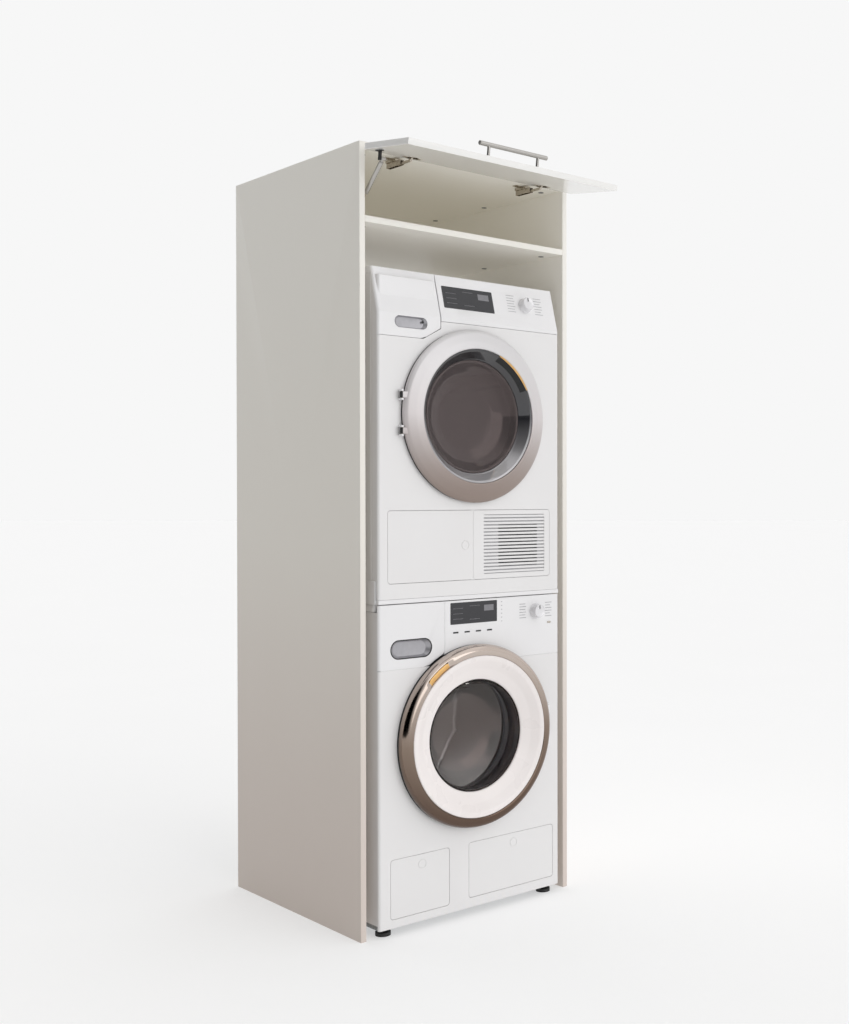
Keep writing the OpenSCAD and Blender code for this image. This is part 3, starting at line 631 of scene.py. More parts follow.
def make_piece(name, node, patches, materials, angle=32.0, uv=None):
    """One mesh object that stands for a frame node; it rides on that node's body."""
    points, faces, kinds = [], [], []
    start = 0
    for patch in patches:
        p, f, k = weld(*patch)
        points.append(p)
        faces += [[i + start for i in face] for face in f]
        kinds += k
        start += len(p)
    mesh = bpy.data.meshes.new(name)
    mesh.from_pydata(np.concatenate(points) * MM, [], faces)
    mesh.polygons.foreach_set("material_index", np.array(kinds, dtype=np.int32))
    work = bmesh.new()
    work.from_mesh(mesh)
    bmesh.ops.recalc_face_normals(work, faces=work.faces)
    work.to_mesh(mesh)
    work.free()
    for mat in materials:
        mesh.materials.append(mat)
    mesh.shade_smooth()
    mesh.set_sharp_from_angle(angle=math.radians(angle))
    if uv is not None:
        wrap_uv(mesh, uv)
    mesh.update()
    piece = bpy.data.objects.new(name, mesh)
    bpy.context.scene.collection.objects.link(piece)
    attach(piece, BODY_OF[node])
    return piece


def wrap_uv(mesh, z):
    """Unrolls a turned piece: u is the arc length round the Y axis, v is the way along y and the radius."""
    layer = mesh.uv_layers.new(name="unrolled")
    count = len(mesh.loops)
    corner = np.empty(count, dtype=np.int32)
    mesh.loops.foreach_get("vertex_index", corner)
    xyz = np.empty(len(mesh.vertices) * 3)
    mesh.vertices.foreach_get("co", xyz)
    xyz = xyz.reshape(-1, 3)[corner]
    angle = np.arctan2(xyz[:, 2] - z * MM, xyz[:, 0])
    totals = np.empty(len(mesh.polygons), dtype=np.int32)
    mesh.polygons.foreach_get("loop_total", totals)
    first = np.repeat(np.cumsum(totals) - totals, totals)
    ref = angle[first]
    angle = ref + (angle - ref + math.pi) % (2 * math.pi) - math.pi
    radius = np.hypot(xyz[:, 0], xyz[:, 2] - z * MM)
    uv = np.stack([angle * 0.25, xyz[:, 1] + radius], -1)
    layer.data.foreach_set("uv", uv.reshape(-1))


def stand_in(name, node, patches, materials, **more):
    """A piece that hides the frame node it stands for."""
    piece = make_piece(name, node, patches, materials, **more)
    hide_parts(node)
    return piece


def finish_nodes(nodes, material):
    """Gives frame nodes whose shape is right their finish."""
    for node in nodes:
        data = frame["nodes"][node].data
        data.materials.clear()
        data.materials.append(material)


def bar(x0, x1, y, z, r, chamfer=0.8, paint=0, axis=0, sides=40):
    """A round bar with chamfered ends: a circle carried along an axis."""
    a = np.linspace(0, 2 * math.pi, sides, endpoint=False)
    ring = np.stack([np.cos(a), np.sin(a)], -1)
    rows = [(x0, r - chamfer), (x0 + chamfer, r), (x1 - chamfer, r), (x1, r - chamfer)]
    centre = np.array([y, z])
    return loft([place(centre + ring * radius, at, axis) for at, radius in rows], paint=paint)


def knob(x, z, radius, length, sides=96):
    """A programme knob on an upright front: skirt, gently tapered drum with fine flutes, and a dished cap."""
    a = np.linspace(0, 2 * math.pi, sides, endpoint=False)
    flute = 1 + 0.004 * np.cos(a * 32)
    rows = []
    for r, y, f in [(radius, 0.4, 0), (radius, 2.2, 0), (radius * 0.93, 3.0, 0), (radius * 0.9, 4.0, 1),
                    (radius * 0.86, length - 2.0, 1), (radius * 0.83, length - 0.5, 0),
                    (radius * 0.8, length, 0),
                    (radius * 0.7, length - 0.8, 0), (radius * 0.3, length - 1.4, 0)]:
        rr = r * (flute if f else 1.0)
        rows.append(np.stack([x + rr * np.cos(a), FRONT - y + 0 * a, z + rr * np.sin(a)], -1))
    body = loft(rows)
    mark = slab((x - 0.9, FRONT - length - 0.3, z + radius * 0.28),
                (x + 0.9, FRONT - length + 1.0, z + radius * 0.78),
                1, 0.8, 0.2, paint=1)
    shaft = bar(FRONT - 1.0, FRONT + 10.0, x, z, 3.6, axis=1)
    return [body, mark, shaft]


def flap_surround(x0, x1, z0, z1, low, high):
    """A patch of front sheet with an opening that leaves a show gap round the box from low to high."""
    hole = rounded_rect(low[0] - SHOW_GAP, high[0] + SHOW_GAP, low[2] - SHOW_GAP, high[2] + SHOW_GAP, 8.9)
    return framed_tile(rounded_rect(x0, x1, z0, z1, 0.01), hole, FRONT, SHEET_T, 0.6)


def service_flap(node, x, z):
    """A service flap's plate with its grey back, whose edge reaches past the plate and shows in the gap round
    the flap as painted seam shade, and a round latch at x, z that stands a little proud.
    """
    low, high = box_mm(node)
    latch = lathe(soften([[12.5, 0.35], [12.5, -0.9], [11.4, -1.1], [10.4, 0.1], [0, 0.1], [0, 0.6],
                          [12, 0.6]],
                         0.3, 3), 0, 64)
    plate = slab((low[0], low[1] + 0.2, low[2]), high, 1, 8.0, 0.9)
    # The back reaches 0.4 mm past the plate: its grey shows in the show gap as painted seam shade
    back = slab((low[0] - 0.4, high[1] - 1.2, low[2] - 0.4), (high[0] + 0.4, high[1], high[2] + 0.4),
                1, 8, 0.2, 1)
    stand_in(node + "_cover", node, [plate, moved(latch, (x, FRONT + 0.2, z)), back],
             [enamelled_sheet(), grey_print()])


def floor_pan(name, node):
    """A machine's flat sheet-steel base, set in from its sides and its rolled front."""
    low, high = box_mm(node)
    stand_in(name, node, [slab(low + [1.5, ROLL, 0], high - [1.5, 1.5, 0], 2, 6, 0.5)], [galvanised_steel()])


def seam_strip(low, high):
    """A thin strip set back behind a seam, so that the seam shows white and not the dark inside."""
    return slab((low[0], FRONT + 1.0, low[1]), (high[0], FRONT + 2.0, high[1]), 1, 0.2, 0.1)


def dashes(rows, y_front, thick=0.25, paint=0):
    """Thin printed bars; rows is a list of [x0, x1, z0, z1]."""
    return [slab((x0, y_front - thick, z0), (x1, y_front + 0.6, z1), 1, 0.5, 0.05, paint) for x0, x1, z0,
            z1 in rows]


def legend(knob_x, knob_z, count, pitch, near, far):
    """Two columns of short bars beside a knob, as programme markings without words."""
    rows = []
    for k in range(count):
        z = knob_z + (k - (count - 1) / 2) * pitch
        rows.append([knob_x - far, knob_x - near - (3 if k % 2 else 0), z - 0.8, z + 0.8])
        rows.append([knob_x + near, knob_x + far - (6 if k % 3 == 1 else 0), z - 0.8, z + 0.8])
    return rows


def drum(z, node_box, mouth, back, ribs=3):
    """A drum's shell, lip, pressed back wall and lifting ribs about the axis at height z."""
    low, high = node_box
    r = (high[0] - low[0]) / 2
    y0, y1 = low[1], back
    shell = [[mouth, y0], [mouth + 14, y0 + 1], [r - 12, y0], [r, y0 + 12], [r, y1 - 8], [r - 10, y1],
             [90, y1],
             [80, y1 - 10], [60, y1 - 12], [0, y1 - 12], [0, y1 - 15], [60, y1 - 15], [84, y1 - 13],
             [94, y1 - 3], [r - 12, y1 - 3], [r - 3, y1 - 10], [r - 3, y0 + 14], [r - 14, y0 + 4],
             [mouth, y0 + 4]]
    out = [lathe(soften(shell, 4.0, 3), z, 192)]
    rib_high, half_width = 32.0, 26.0
    for k in range(ribs):
        a = math.radians(30 + k * 360 / ribs)
        along = np.linspace(0, 1, 24)
        u = np.linspace(-1, 1, 15)
        height = rib_high * (1 - np.abs(2 * along - 1) ** 6)[:, None] * (1 - np.abs(u) ** 2.2)[None, :]
        x = r - 3.2 - height
        side = u[None, :] * half_width * (1 - 0.25 * height / rib_high)
        yy = (y0 + 30 + (y1 - y0 - 60) * along)[:, None] + 0 * u[None, :]
        top = np.stack([x, yy, side], -1)
        under = np.stack([x * 0 + r - 1.5, yy, side], -1)
        c, s = math.cos(a), math.sin(a)
        sheet = np.concatenate([top, under[:, ::-1]], 1)
        turned_rib = np.stack([sheet[..., 0] * c - sheet[..., 2] * s, sheet[..., 1],
                               z + sheet[..., 0] * s + sheet[..., 2] * c], -1)
        out.append(loft(turned_rib, paint=1))
    return out


# ---- Operators: one for each group of like pieces ----

class LAUNDRY_OT_boards(bpy.types.Operator):
    """Cabinet boards with banded, slightly rounded edges, and the connectors that join them"""
    bl_idname = "laundry.boards"
    bl_label = "Cabinet boards"

    def execute(self, context):
        edge = context.scene.laundry_stack.board_edge / MM
        thin = {"side_panel_left": 0, "side_panel_right": 0, "ceiling_panel": 2, "shelf_panel": 2,
                "upper_back_panel": 1, "rear_rail": 1}
        for node, axis in thin.items():
            low, high = box_mm(node)
            stand_in(node + "_skin", node, [slab(low, high, axis, edge + 0.2, edge)], [melamine_board()])
        finish_nodes(["cam_fittings"], moulded_grey())
        return {"FINISHED"}


class LAUNDRY_OT_flap(bpy.types.Operator):
    """Lift-up flap, its bar handle, and the finishes of the hinges and strut"""
    bl_idname = "laundry.flap"
    bl_label = "Flap and fittings"

    def execute(self, context):
        joint = JOINTS["flap_hinge"]
        pivot = np.array(joint["pos_m"]) / MM
        turn = math.radians(joint["range_deg"][1])
        c, s = math.cos(turn), math.sin(turn)

        def opened(patch):
            d = patch[0] - pivot
            turned = np.stack([d[:, 0], d[:, 1] * c + d[:, 2] * s, d[:, 2] * c - d[:, 1] * s], -1)
            return turned + pivot, patch[1], patch[2]

        low, high = box_mm("flap_panel")
        edge = context.scene.laundry_stack.board_edge / MM
        gap, board, reveal = 2, 16, 3
        face_in, face_out = CABINET_FRONT - gap, CABINET_FRONT - gap - board
        top = box_mm("ceiling_panel")[1][2] - reveal
        bottom = box_mm("shelf_panel")[0][2] + reveal
        cup_x, cup_z = box_mm("hinge_links")[1][0] - 3, top - 22
        halves = [opened(half_board(x, s * cup_x, cup_z, (face_out, face_in), (bottom, top), edge))
                  for x, s in ((low[0], -1), (high[0], 1))]
        stand_in("flap_skin", "flap_panel", halves, [lacquered_board()])
        bar_low, bar_high = box_mm("flap_handle")
        y, z = face_out - 33, bottom + 32
        post_x = 80
        rod = bar(bar_low[0], bar_high[0], y, z, 5.99, 0.8)
        posts = [bar(y, face_out, x, z, 4.0, 0.3, axis=1) for x in (-post_x, post_x)]
        collars = [bar(face_out - 1.6, face_out, x, z, 6.5, 0.4, axis=1) for x in (-post_x, post_x)]
        stand_in("flap_handle_bar", "flap_handle", [opened(p) for p in [rod] + posts + collars],
                 [brushed_stainless()])
        finish_nodes(["hinge_cups", "hinge_links", "hinge_arms", "strut_rod"], plated_steel())
        finish_nodes(["strut_tube"], brushed_stainless())
        finish_nodes(["strut_flap_bracket", "strut_side_bracket"], black_rubber())
        return {"FINISHED"}


class LAUNDRY_OT_washer_body(bpy.types.Operator):
    """Washer's casing, base, worktop, front sheet with its openings, service flaps and feet"""
    bl_idname = "laundry.washer_body"
    bl_label = "Washer body"

    def execute(self, context):
        white = [enamelled_sheet()]
        seam = PANEL_HIGH[2] if PANEL_HIGH[2] < DRAWER_LOW[2] else DRAWER_LOW[2] - 1
        case_low, case_high = box_mm("washer_casing")
        stand_in("washer_case", "washer_casing", [bent_case(FRONT + ROLL, case_low[2], case_high[2])], white)
        top_low, top_high = box_mm("washer_worktop")
        stand_in("washer_top", "washer_worktop", [slab(top_low, top_high, 2, 10, 2.0)], white)
        floor_pan("washer_floor_pan", "washer_base")
        flaps = [box_mm("washer_flap_left"), box_mm("washer_flap_right")]
        split_z = max(f[1][2] for f in flaps) + 20
        split_x = (flaps[0][1][0] + flaps[1][0][0]) / 2
        centre = np.array([0.0, WASHER_DOOR])
        ring = outline([(-SIDE_X, split_z), (SIDE_X, split_z), (SIDE_X, seam), (-SIDE_X, seam)])
        tiles = [framed_tile(ring, circle_facing(ring, centre, PORTHOLE), FRONT, SHEET_T, 2.0)]
        for (low, high), x0, x1 in zip(flaps, (-SIDE_X, split_x), (split_x, SIDE_X)):
            tiles.append(flap_surround(x0, x1, FOOT, split_z, low, high))
        tiles += [edge_roll(s, FOOT, seam) for s in (-1, 1)]
        tiles.append(seam_strip((-SIDE_X, seam - 2), (SIDE_X, DRAWER_LOW[2] - 0.1)))
        stand_in("washer_front_sheet", "washer_front_panel", tiles, white)
        for node in ("washer_flap_left", "washer_flap_right"):
            low, high = box_mm(node)
            x = (low[0] + high[0]) / 2 + (6 if low[0] < 0 else -6)
            service_flap(node, x, high[2] - 26)
        finish_nodes(["washer_feet"], black_rubber())
        return {"FINISHED"}


class LAUNDRY_OT_washer_controls(bpy.types.Operator):
    """Washer's control panel with its display, knob and key, and the detergent drawer"""
    bl_idname = "laundry.washer_controls"
    bl_label = "Washer controls"

    def execute(self, context):
        white = moulded_white()
        low, high = FASCIA_LOW, FASCIA_HIGH
        d_low, d_high = box_mm("washer_display")
        window = rounded_rect(d_low[0] - 0.4, d_high[0] + 0.4, d_low[2] - 0.4, d_high[2] + 0.4, 2.0)
        panel = framed_tile(rounded_rect(low[0], SIDE_X, low[2], high[2], 0.8), window, FRONT, 11.0, 0.7)
        k_low, k_high = box_mm("washer_knob")
        kx, kz = (k_low[0] + k_high[0]) / 2, (k_low[2] + k_high[2]) / 2
        marks = legend(kx, kz + 2, 6, 7.6, 34, 58)
        marks += [[d_high[0] + 14, d_high[0] + 18, z, z + 2.2] for z in np.linspace(d_low[2] - 2,
                                                                                    d_high[2] - 6, 6)]
        keys = [[x, x + 17, d_low[2] - 24, d_low[2] - 20] for x in np.linspace(d_low[0] + 8, d_high[0] - 34,
                                                                               4)]
        lip = seam_strip((DRAWER_HIGH[0] + 0.1, low[2]), (low[0] + 2, high[2]))
        stand_in("washer_control_panel", "washer_fascia",
                 [panel, edge_roll(1, low[2], high[2]), lip] + dashes(marks, FRONT,
                                                                      paint=1) + dashes(keys, FRONT, 0.5, 2),
                 [white, grey_print(), black_rubber()])
        icons = [[d_low[0] + 8, d_low[0] + 40, z, z + 1.6] for z in (d_low[2] + 13, d_low[2] + 27,
                                                                     d_low[2] + 41)]
        icons += [[d_low[0] + 62, d_low[0] + 96, z, z + 1.6] for z in (d_low[2] + 10, d_low[2] + 46)]
        screen = slab((d_high[0] - 44, d_low[1] - 0.15, d_high[2] - 26),
                      (d_high[0] - 12, d_low[1] + 0.6, d_high[2] - 10), 1, 1.0, 0.1, 1)
        glass = slab(d_low, d_high, 1, 1.8, 0.5)
        stand_in("washer_display_window", "washer_display",
                 [glass, screen] + dashes(icons, d_low[1], 0.12, 1),
                 [black_glass(), display_print()])
        radius = (k_high[0] - k_low[0]) / 2
        stand_in("washer_programme_knob", "washer_knob", knob(kx, kz, radius, 20),
                 [plated_knob(), black_rubber()])
        p_low, p_high = box_mm("washer_power_key")
        stand_in("washer_power_button", "washer_power_key", [slab(p_low, p_high, 1, 1.5, 0.6)],
                 [plated_steel()])
        self.drawer(white)
        return {"FINISHED"}

    def drawer(self, white):
        low, high = DRAWER_LOW, DRAWER_HIGH
        z0, z1 = high[2] - 138, high[2] - 94
        x0, x1 = -HW + 38, -HW + 160
        slot = pill(x0, x1, z0, z1)
        rim = pill(x0 - 3, x1 + 3, z0 - 3, z1 + 3)
        right = -HW + 202
        outer = clear_of(rounded_rect(-SIDE_X, right, low[2], high[2], 0.8, 12, 8),
                         np.array([0.0, WASHER_DOOR]),
                         WASHER_RING + 2.2)
        face = framed_tile(outer, rim, FRONT, 14.0, 0.4)
        gasket = framed_tile(rim, slot, FRONT - 0.25, 6.0, 0.3, paint=1)
        middle = np.array([(x0 + x1) / 2, (z0 + z1) / 2])
        dish = dished(slot, middle, FRONT + 0.3, 10.5, paint=2)
        tray_low, tray_high = np.array([low[0] + 12, FRONT + 14,
                                        WASHER_DOOR + 279]), np.array([low[0] + 190, high[1], 824])
        tray = []
        for a, b in ((tray_low[0], tray_low[0] + 88), (tray_low[0] + 86, tray_high[0])):
            outer_loop = rounded_rect(a, b, tray_low[1], tray_high[1], 4)
            inner_loop = rounded_rect(a + 2, b - 2, tray_low[1] + 2, tray_high[1] - 2, 3)
            rows = [place(outer_loop, tray_low[2], 2), place(outer_loop, tray_high[2], 2),
                    place(inner_loop, tray_high[2], 2), place(inner_loop, tray_low[2] + 2, 2)]
            tray.append(loft(rows))
        stand_in("washer_detergent_drawer", "washer_drawer",
                 [face, gasket, dish, edge_roll(-1, low[2], high[2])] + tray,
                 [white, black_rubber(), grip_grey()])


def hinge_knuckles(x, side, z):
    """The door's own knuckles: a barrel round each pin and a short leaf towards the ring."""
    out = []
    y = FRONT - PIN_OUT
    for s in (-1, 1):
        zc = z + s * HINGE_HALF
        out.append(bar(zc - KNUCKLE / 2, zc + KNUCKLE / 2, x, y, 4.6, 0.5, axis=2, paint=1))
        x0, x1 = sorted((x, x - side * 16))
        out.append(slab((x0, y - 5, zc - 7.9), (x1, y + 3, zc + 7.9), 2, 1.0, 0.4))
    return out


def hinge_ears(x, z):
    """The front sheet's ears above and below each knuckle, and the pins through them."""
    out = []
    for s in (-1, 1):
        zc = z + s * HINGE_HALF
        for e in (-1, 1):
            ez = zc + e * (KNUCKLE / 2 + 1 + EAR / 2)
            out.append(slab((x - 4, FRONT - 16, ez - EAR / 2), (x + 4, FRONT, ez + EAR / 2), 2, 2.0, 0.5))
        reach = KNUCKLE / 2 + EAR + 1
        out.append(bar(zc - reach, zc + reach, x, FRONT - PIN_OUT, 2.9, 0.3, 1, axis=2, sides=24))
    return out


def ring_gap_shadow(r, z, paint):
    """A black band behind a door ring's outer edge: painted shadow in the gap between the ring and the
    machine's front.
    """
    return lathe(shifted([[r - 7, -0.6], [r - 1, -0.6], [r - 1, -7.5], [r - 7, -7.5]]), z, 224, paint)


class LAUNDRY_OT_washer_door(bpy.types.Operator):
    """Washer's door: chrome ring with a finger scoop, white inner ring and glass bowl, and the seal"""
    bl_idname = "laundry.washer_door"
    bl_label = "Washer door"

    def execute(self, context):
        r, z = WASHER_RING, WASHER_DOOR
        # The ring's outer edge, a rounded shoulder and an inward slope down to the white ring
        shape = soften([[r - 10, -6], [r, -6], [r, -20], [r - 5, -32], [r - 15, -38], [WASHER_TRIM, -36.5],
                        [WASHER_TRIM, -32], [r - 16, -30], [r - 10, -18]], 5.0, 6)
        ring = self.scooped(shape, z)
        # Behind the ring's edge, a black band is painted shadow of the gap to the front sheet
        stand_in("washer_chrome_ring", "washer_door_ring",
                 [ring, ring_gap_shadow(r, z, 3)] + [painted(k, 2) for k in hinge_knuckles(r + 4, 1, z)],
                 [bright_chrome(), copper_accent(), moulded_white(), black_rubber()], angle=40.0)
        g, t = WASHER_GLASS, WASHER_TRIM
        dish = [[g + 0.5, -11], [g + 6, -13.5], [g + 30, -22], [t - 14, -34], [t - 3, -36.3], [t - 0.2, -35],
                [t - 0.2, -30], [t - 8, -3], [g + 6, -3], [g + 0.5, -6]]
        stand_in("washer_inner_ring", "washer_door_trim", [lathe(shifted(soften(dish, 3, 5)), z, 192)],
                 [pearl_white()])
        bowl = [[g, -11], [g, -4], [g - 5, 6], [g - 24, 42], [g - 40, 64], [g - 66, 77], [g - 100, 80],
                [0, 80],
                [0, 76], [g - 100, 76], [g - 68, 73], [g - 43, 61], [g - 28, 40], [g - 9, 4], [g - 5, -8]]
        stand_in("washer_glass_bowl", "washer_door_glass", [lathe(shifted(soften(bowl, 6, 5)), z, 192)],
                 [clear_glass()])
        seal_low, seal_high = box_mm("washer_door_seal")
        rim, back = PORTHOLE, seal_high[1] - FRONT
        folds = [[rim + 7, 3], [rim + 7, 7], [rim - 1, 11], [rim + 2, 20], [rim - 3, 28], [rim + 2, 38],
                 [rim + 2, back], [rim - 16, back], [g + 2, back - 30], [g + 1, back - 34],
                 [rim - 14, back - 22],
                 [rim - 12, 30], [rim - 15, 20], [rim - 11, 12], [rim - 4, 3]]
        stand_in("washer_bellows", "washer_door_seal", [lathe(shifted(soften(folds, 3, 4)), z, 160)],
                 [moulded_grey()])
        ears = hinge_ears(WASHER_RING + 4, WASHER_DOOR) + hinge_ears(-DRYER_RING - 4, DRYER_DOOR)
        stand_in("door_hinge_ears", "door_hinges", ears, [moulded_white(), plated_steel()])
        return {"FINISHED"}

    def scooped(self, shape, z):
        """The turned ring, pressed back by up to 6 mm over a sector of its inner half as a finger scoop."""
        segments = 288
        profile = outline(shape, 1.6)
        a = np.linspace(0, 2 * math.pi, segments, endpoint=False)[None, :]
        r, y = profile[:, :1], profile[:, 1:] + FRONT
        mid, half = math.radians(126), math.radians(13)
        reach = np.clip(1.15 - ((a - mid) / half) ** 4, 0, 1)
        inner = np.clip((WASHER_RING - 9 - r) / 4, 0, 1) * (profile[:, 1:] < -28)
        pressed = reach * inner
        points = np.stack([r * np.cos(a), y + 6 * pressed, z + r * np.sin(a)], -1)
        # Copper in the scoop, a black line along its outer side as painted shadow of the scoop's lip, chrome
        # at its ends
        return grid(points, True, True,
                    np.where(pressed > 0.85, 1, np.where((pressed > 0.05) & (reach > 0.9), 3, 0)))


class LAUNDRY_OT_washer_inside(bpy.types.Operator):
    """Washer's drum and the finishes of its machinery"""
    bl_idname = "laundry.washer_inside"
    bl_label = "Washer inside"

    def execute(self, context):
        low, high = box_mm("washer_drum")
        back = low[1] + 350
        shaft = bar(back - 14, high[1], 0, WASHER_DOOR, 15, 1.0, axis=1, paint=1)
        stand_in("washer_drum_shell", "washer_drum",
                 drum(WASHER_DOOR, (low, high), PORTHOLE - 18, back) + [shaft],
                 [drum_steel(), pressed_stainless()], uv=WASHER_DOOR)
        finish_nodes(["washer_tub", "washer_drain_pump"], moulded_grey())
        finish_nodes(["washer_pulley", "washer_motor", "washer_motor_pulley"], cast_aluminium())
        finish_nodes(["washer_suspension", "rear_covers"], galvanised_steel())
        finish_nodes(["washer_belt"], black_rubber())
        finish_nodes(["washer_counterweight"], cast_ballast())
        return {"FINISHED"}


class LAUNDRY_OT_dryer_body(bpy.types.Operator):
    """Dryer's casing, base, lid, stacking frame, front sheet, service flap and grille"""
    bl_idname = "laundry.dryer_body"
    bl_label = "Dryer body"

    def execute(self, context):
        white = [enamelled_sheet()]
        behind = FRONT + LEAN + 2
        case_low, case_high = box_mm("dryer_casing")
        case = [bent_case(behind, DRYER_LOW + 0.5, case_high[2])]
        for s in (-1, 1):
            edge = [(FRONT + ROLL, DRYER_LOW + 0.5), (FRONT + ROLL, KNEE),
                    (FRONT + LEAN + ROLL, DRYER_TOP - 1),
                    (CASE_BACK - 60, DRYER_TOP - 1), (CASE_BACK - 60, DRYER_LOW + 0.5)]
            case.append(loft([place(outline(edge, 60), s * (HW - 0.6), 0),
                              place(outline(edge, 60), s * (HW - 1.6), 0)]))
        stand_in("dryer_case", "dryer_casing", case, white)
        lid_low, lid_high = box_mm("dryer_lid")
        stand_in("dryer_top_panel", "dryer_lid", [slab(lid_low, lid_high, 2, 8, 2.0)], white)
        floor_pan("dryer_floor_pan", "dryer_base")
        kit_low, kit_high = box_mm("stacking_kit")
        rail = 45
        outer = rounded_rect(-HW, HW, kit_low[1], kit_high[1], 2.5)
        inner = rounded_rect(-HW + rail, HW - rail, kit_low[1] + rail, kit_high[1] - rail, 6)
        top = DRYER_LOW - 0.6
        rows = [place(outer, kit_low[2] + 0.6, 2), place(outer, top, 2), place(inner, top, 2),
                place(inner, kit_low[2] + 0.6, 2)]
        kit = [loft(rows, caps=False, around=True)]
        for s in (-1, 1):
            x0, x1 = sorted((s * (HW + 0.5), s * kit_high[0]))
            kit.append(slab((x0, FRONT + 12, kit_low[2]), (x1, CASE_BACK - 20, kit_high[2]), 0, 4, 0.8))
        stand_in("stacking_frame", "stacking_kit", kit, [moulded_white()])
        self.front(white)
        self.lower()
        return {"FINISHED"}

    def front(self, white):
        step = CONTAINER_HIGH[0]
        seam_r, seam_l = DFASCIA_LOW[2] - 1, CONTAINER_LOW[2] - 1
        opening_low, opening_high = box_mm("dryer_flap")[0], box_mm("dryer_grille")[1]
        split = opening_high[2] + 10
        shape = outline([(-SIDE_X, split), (SIDE_X, split), (SIDE_X, seam_r), (step + 2, seam_r),
                         (step + 2, seam_l + 31), (step - 54, seam_l), (-SIDE_X, seam_l)])
        centre = np.array([0.0, DRYER_DOOR])
        tiles = [framed_tile(shape, circle_facing(shape, centre, DRYER_GLASS + 16), FRONT, SHEET_T, 2.0)]
        tiles.append(flap_surround(-SIDE_X, SIDE_X, DRYER_LOW, split, opening_low, opening_high))
        tiles.append(edge_roll(-1, DRYER_LOW, seam_l))
        tiles.append(edge_roll(1, DRYER_LOW, seam_r))
        stand_in("dryer_front_sheet", "dryer_front_panel", tiles, white)

    def lower(self):
        low, high = box_mm("dryer_flap")
        service_flap("dryer_flap", high[0] - 24, (low[2] + high[2]) / 2)
        low, high = box_mm("dryer_grille")
        slots, pitch = 17, 9.43
        z0, z1 = low[2] + 13.6, low[2] + 13.6 + slots * pitch
        x0, x1 = 34.0, 246.0
        face = framed_tile(rounded_rect(low[0], high[0], low[2], high[2], 8.0),
                           rounded_rect(x0, x1, z0, z1, 3),
                           FRONT + 0.2, 3.8, 0.6)
        fins = []
        for k in range(slots):
            z = z0 + (k + 0.5) * pitch
            fins.append(slab((x0 - 0.5, FRONT + 0.6, z - pitch * 0.32),
                             (x1 + 0.5, FRONT + 3.6, z + pitch * 0.32), 1,
                             1.2, 0.6))
        shade = slab((86, FRONT + 3.6, z0 + 2 * pitch), (222, FRONT + 4.0, z1 - 3 * pitch), 1, 2, 0.1, 1)
        pale = slab((x0 - 1, FRONT + 3.9, z0 - 1), (x1 + 1, FRONT + 4.0, z1 + 1), 1, 2, 0.02, 2)
        seam = seam_strip((box_mm("dryer_flap")[1][0] - 6, low[2] - 0.4), (low[0] + 6, high[2] + 0.4))
        stand_in("dryer_air_grille", "dryer_grille", [face, shade, pale, seam] + fins,
                 [enamelled_sheet(), black_rubber(), grey_print()])


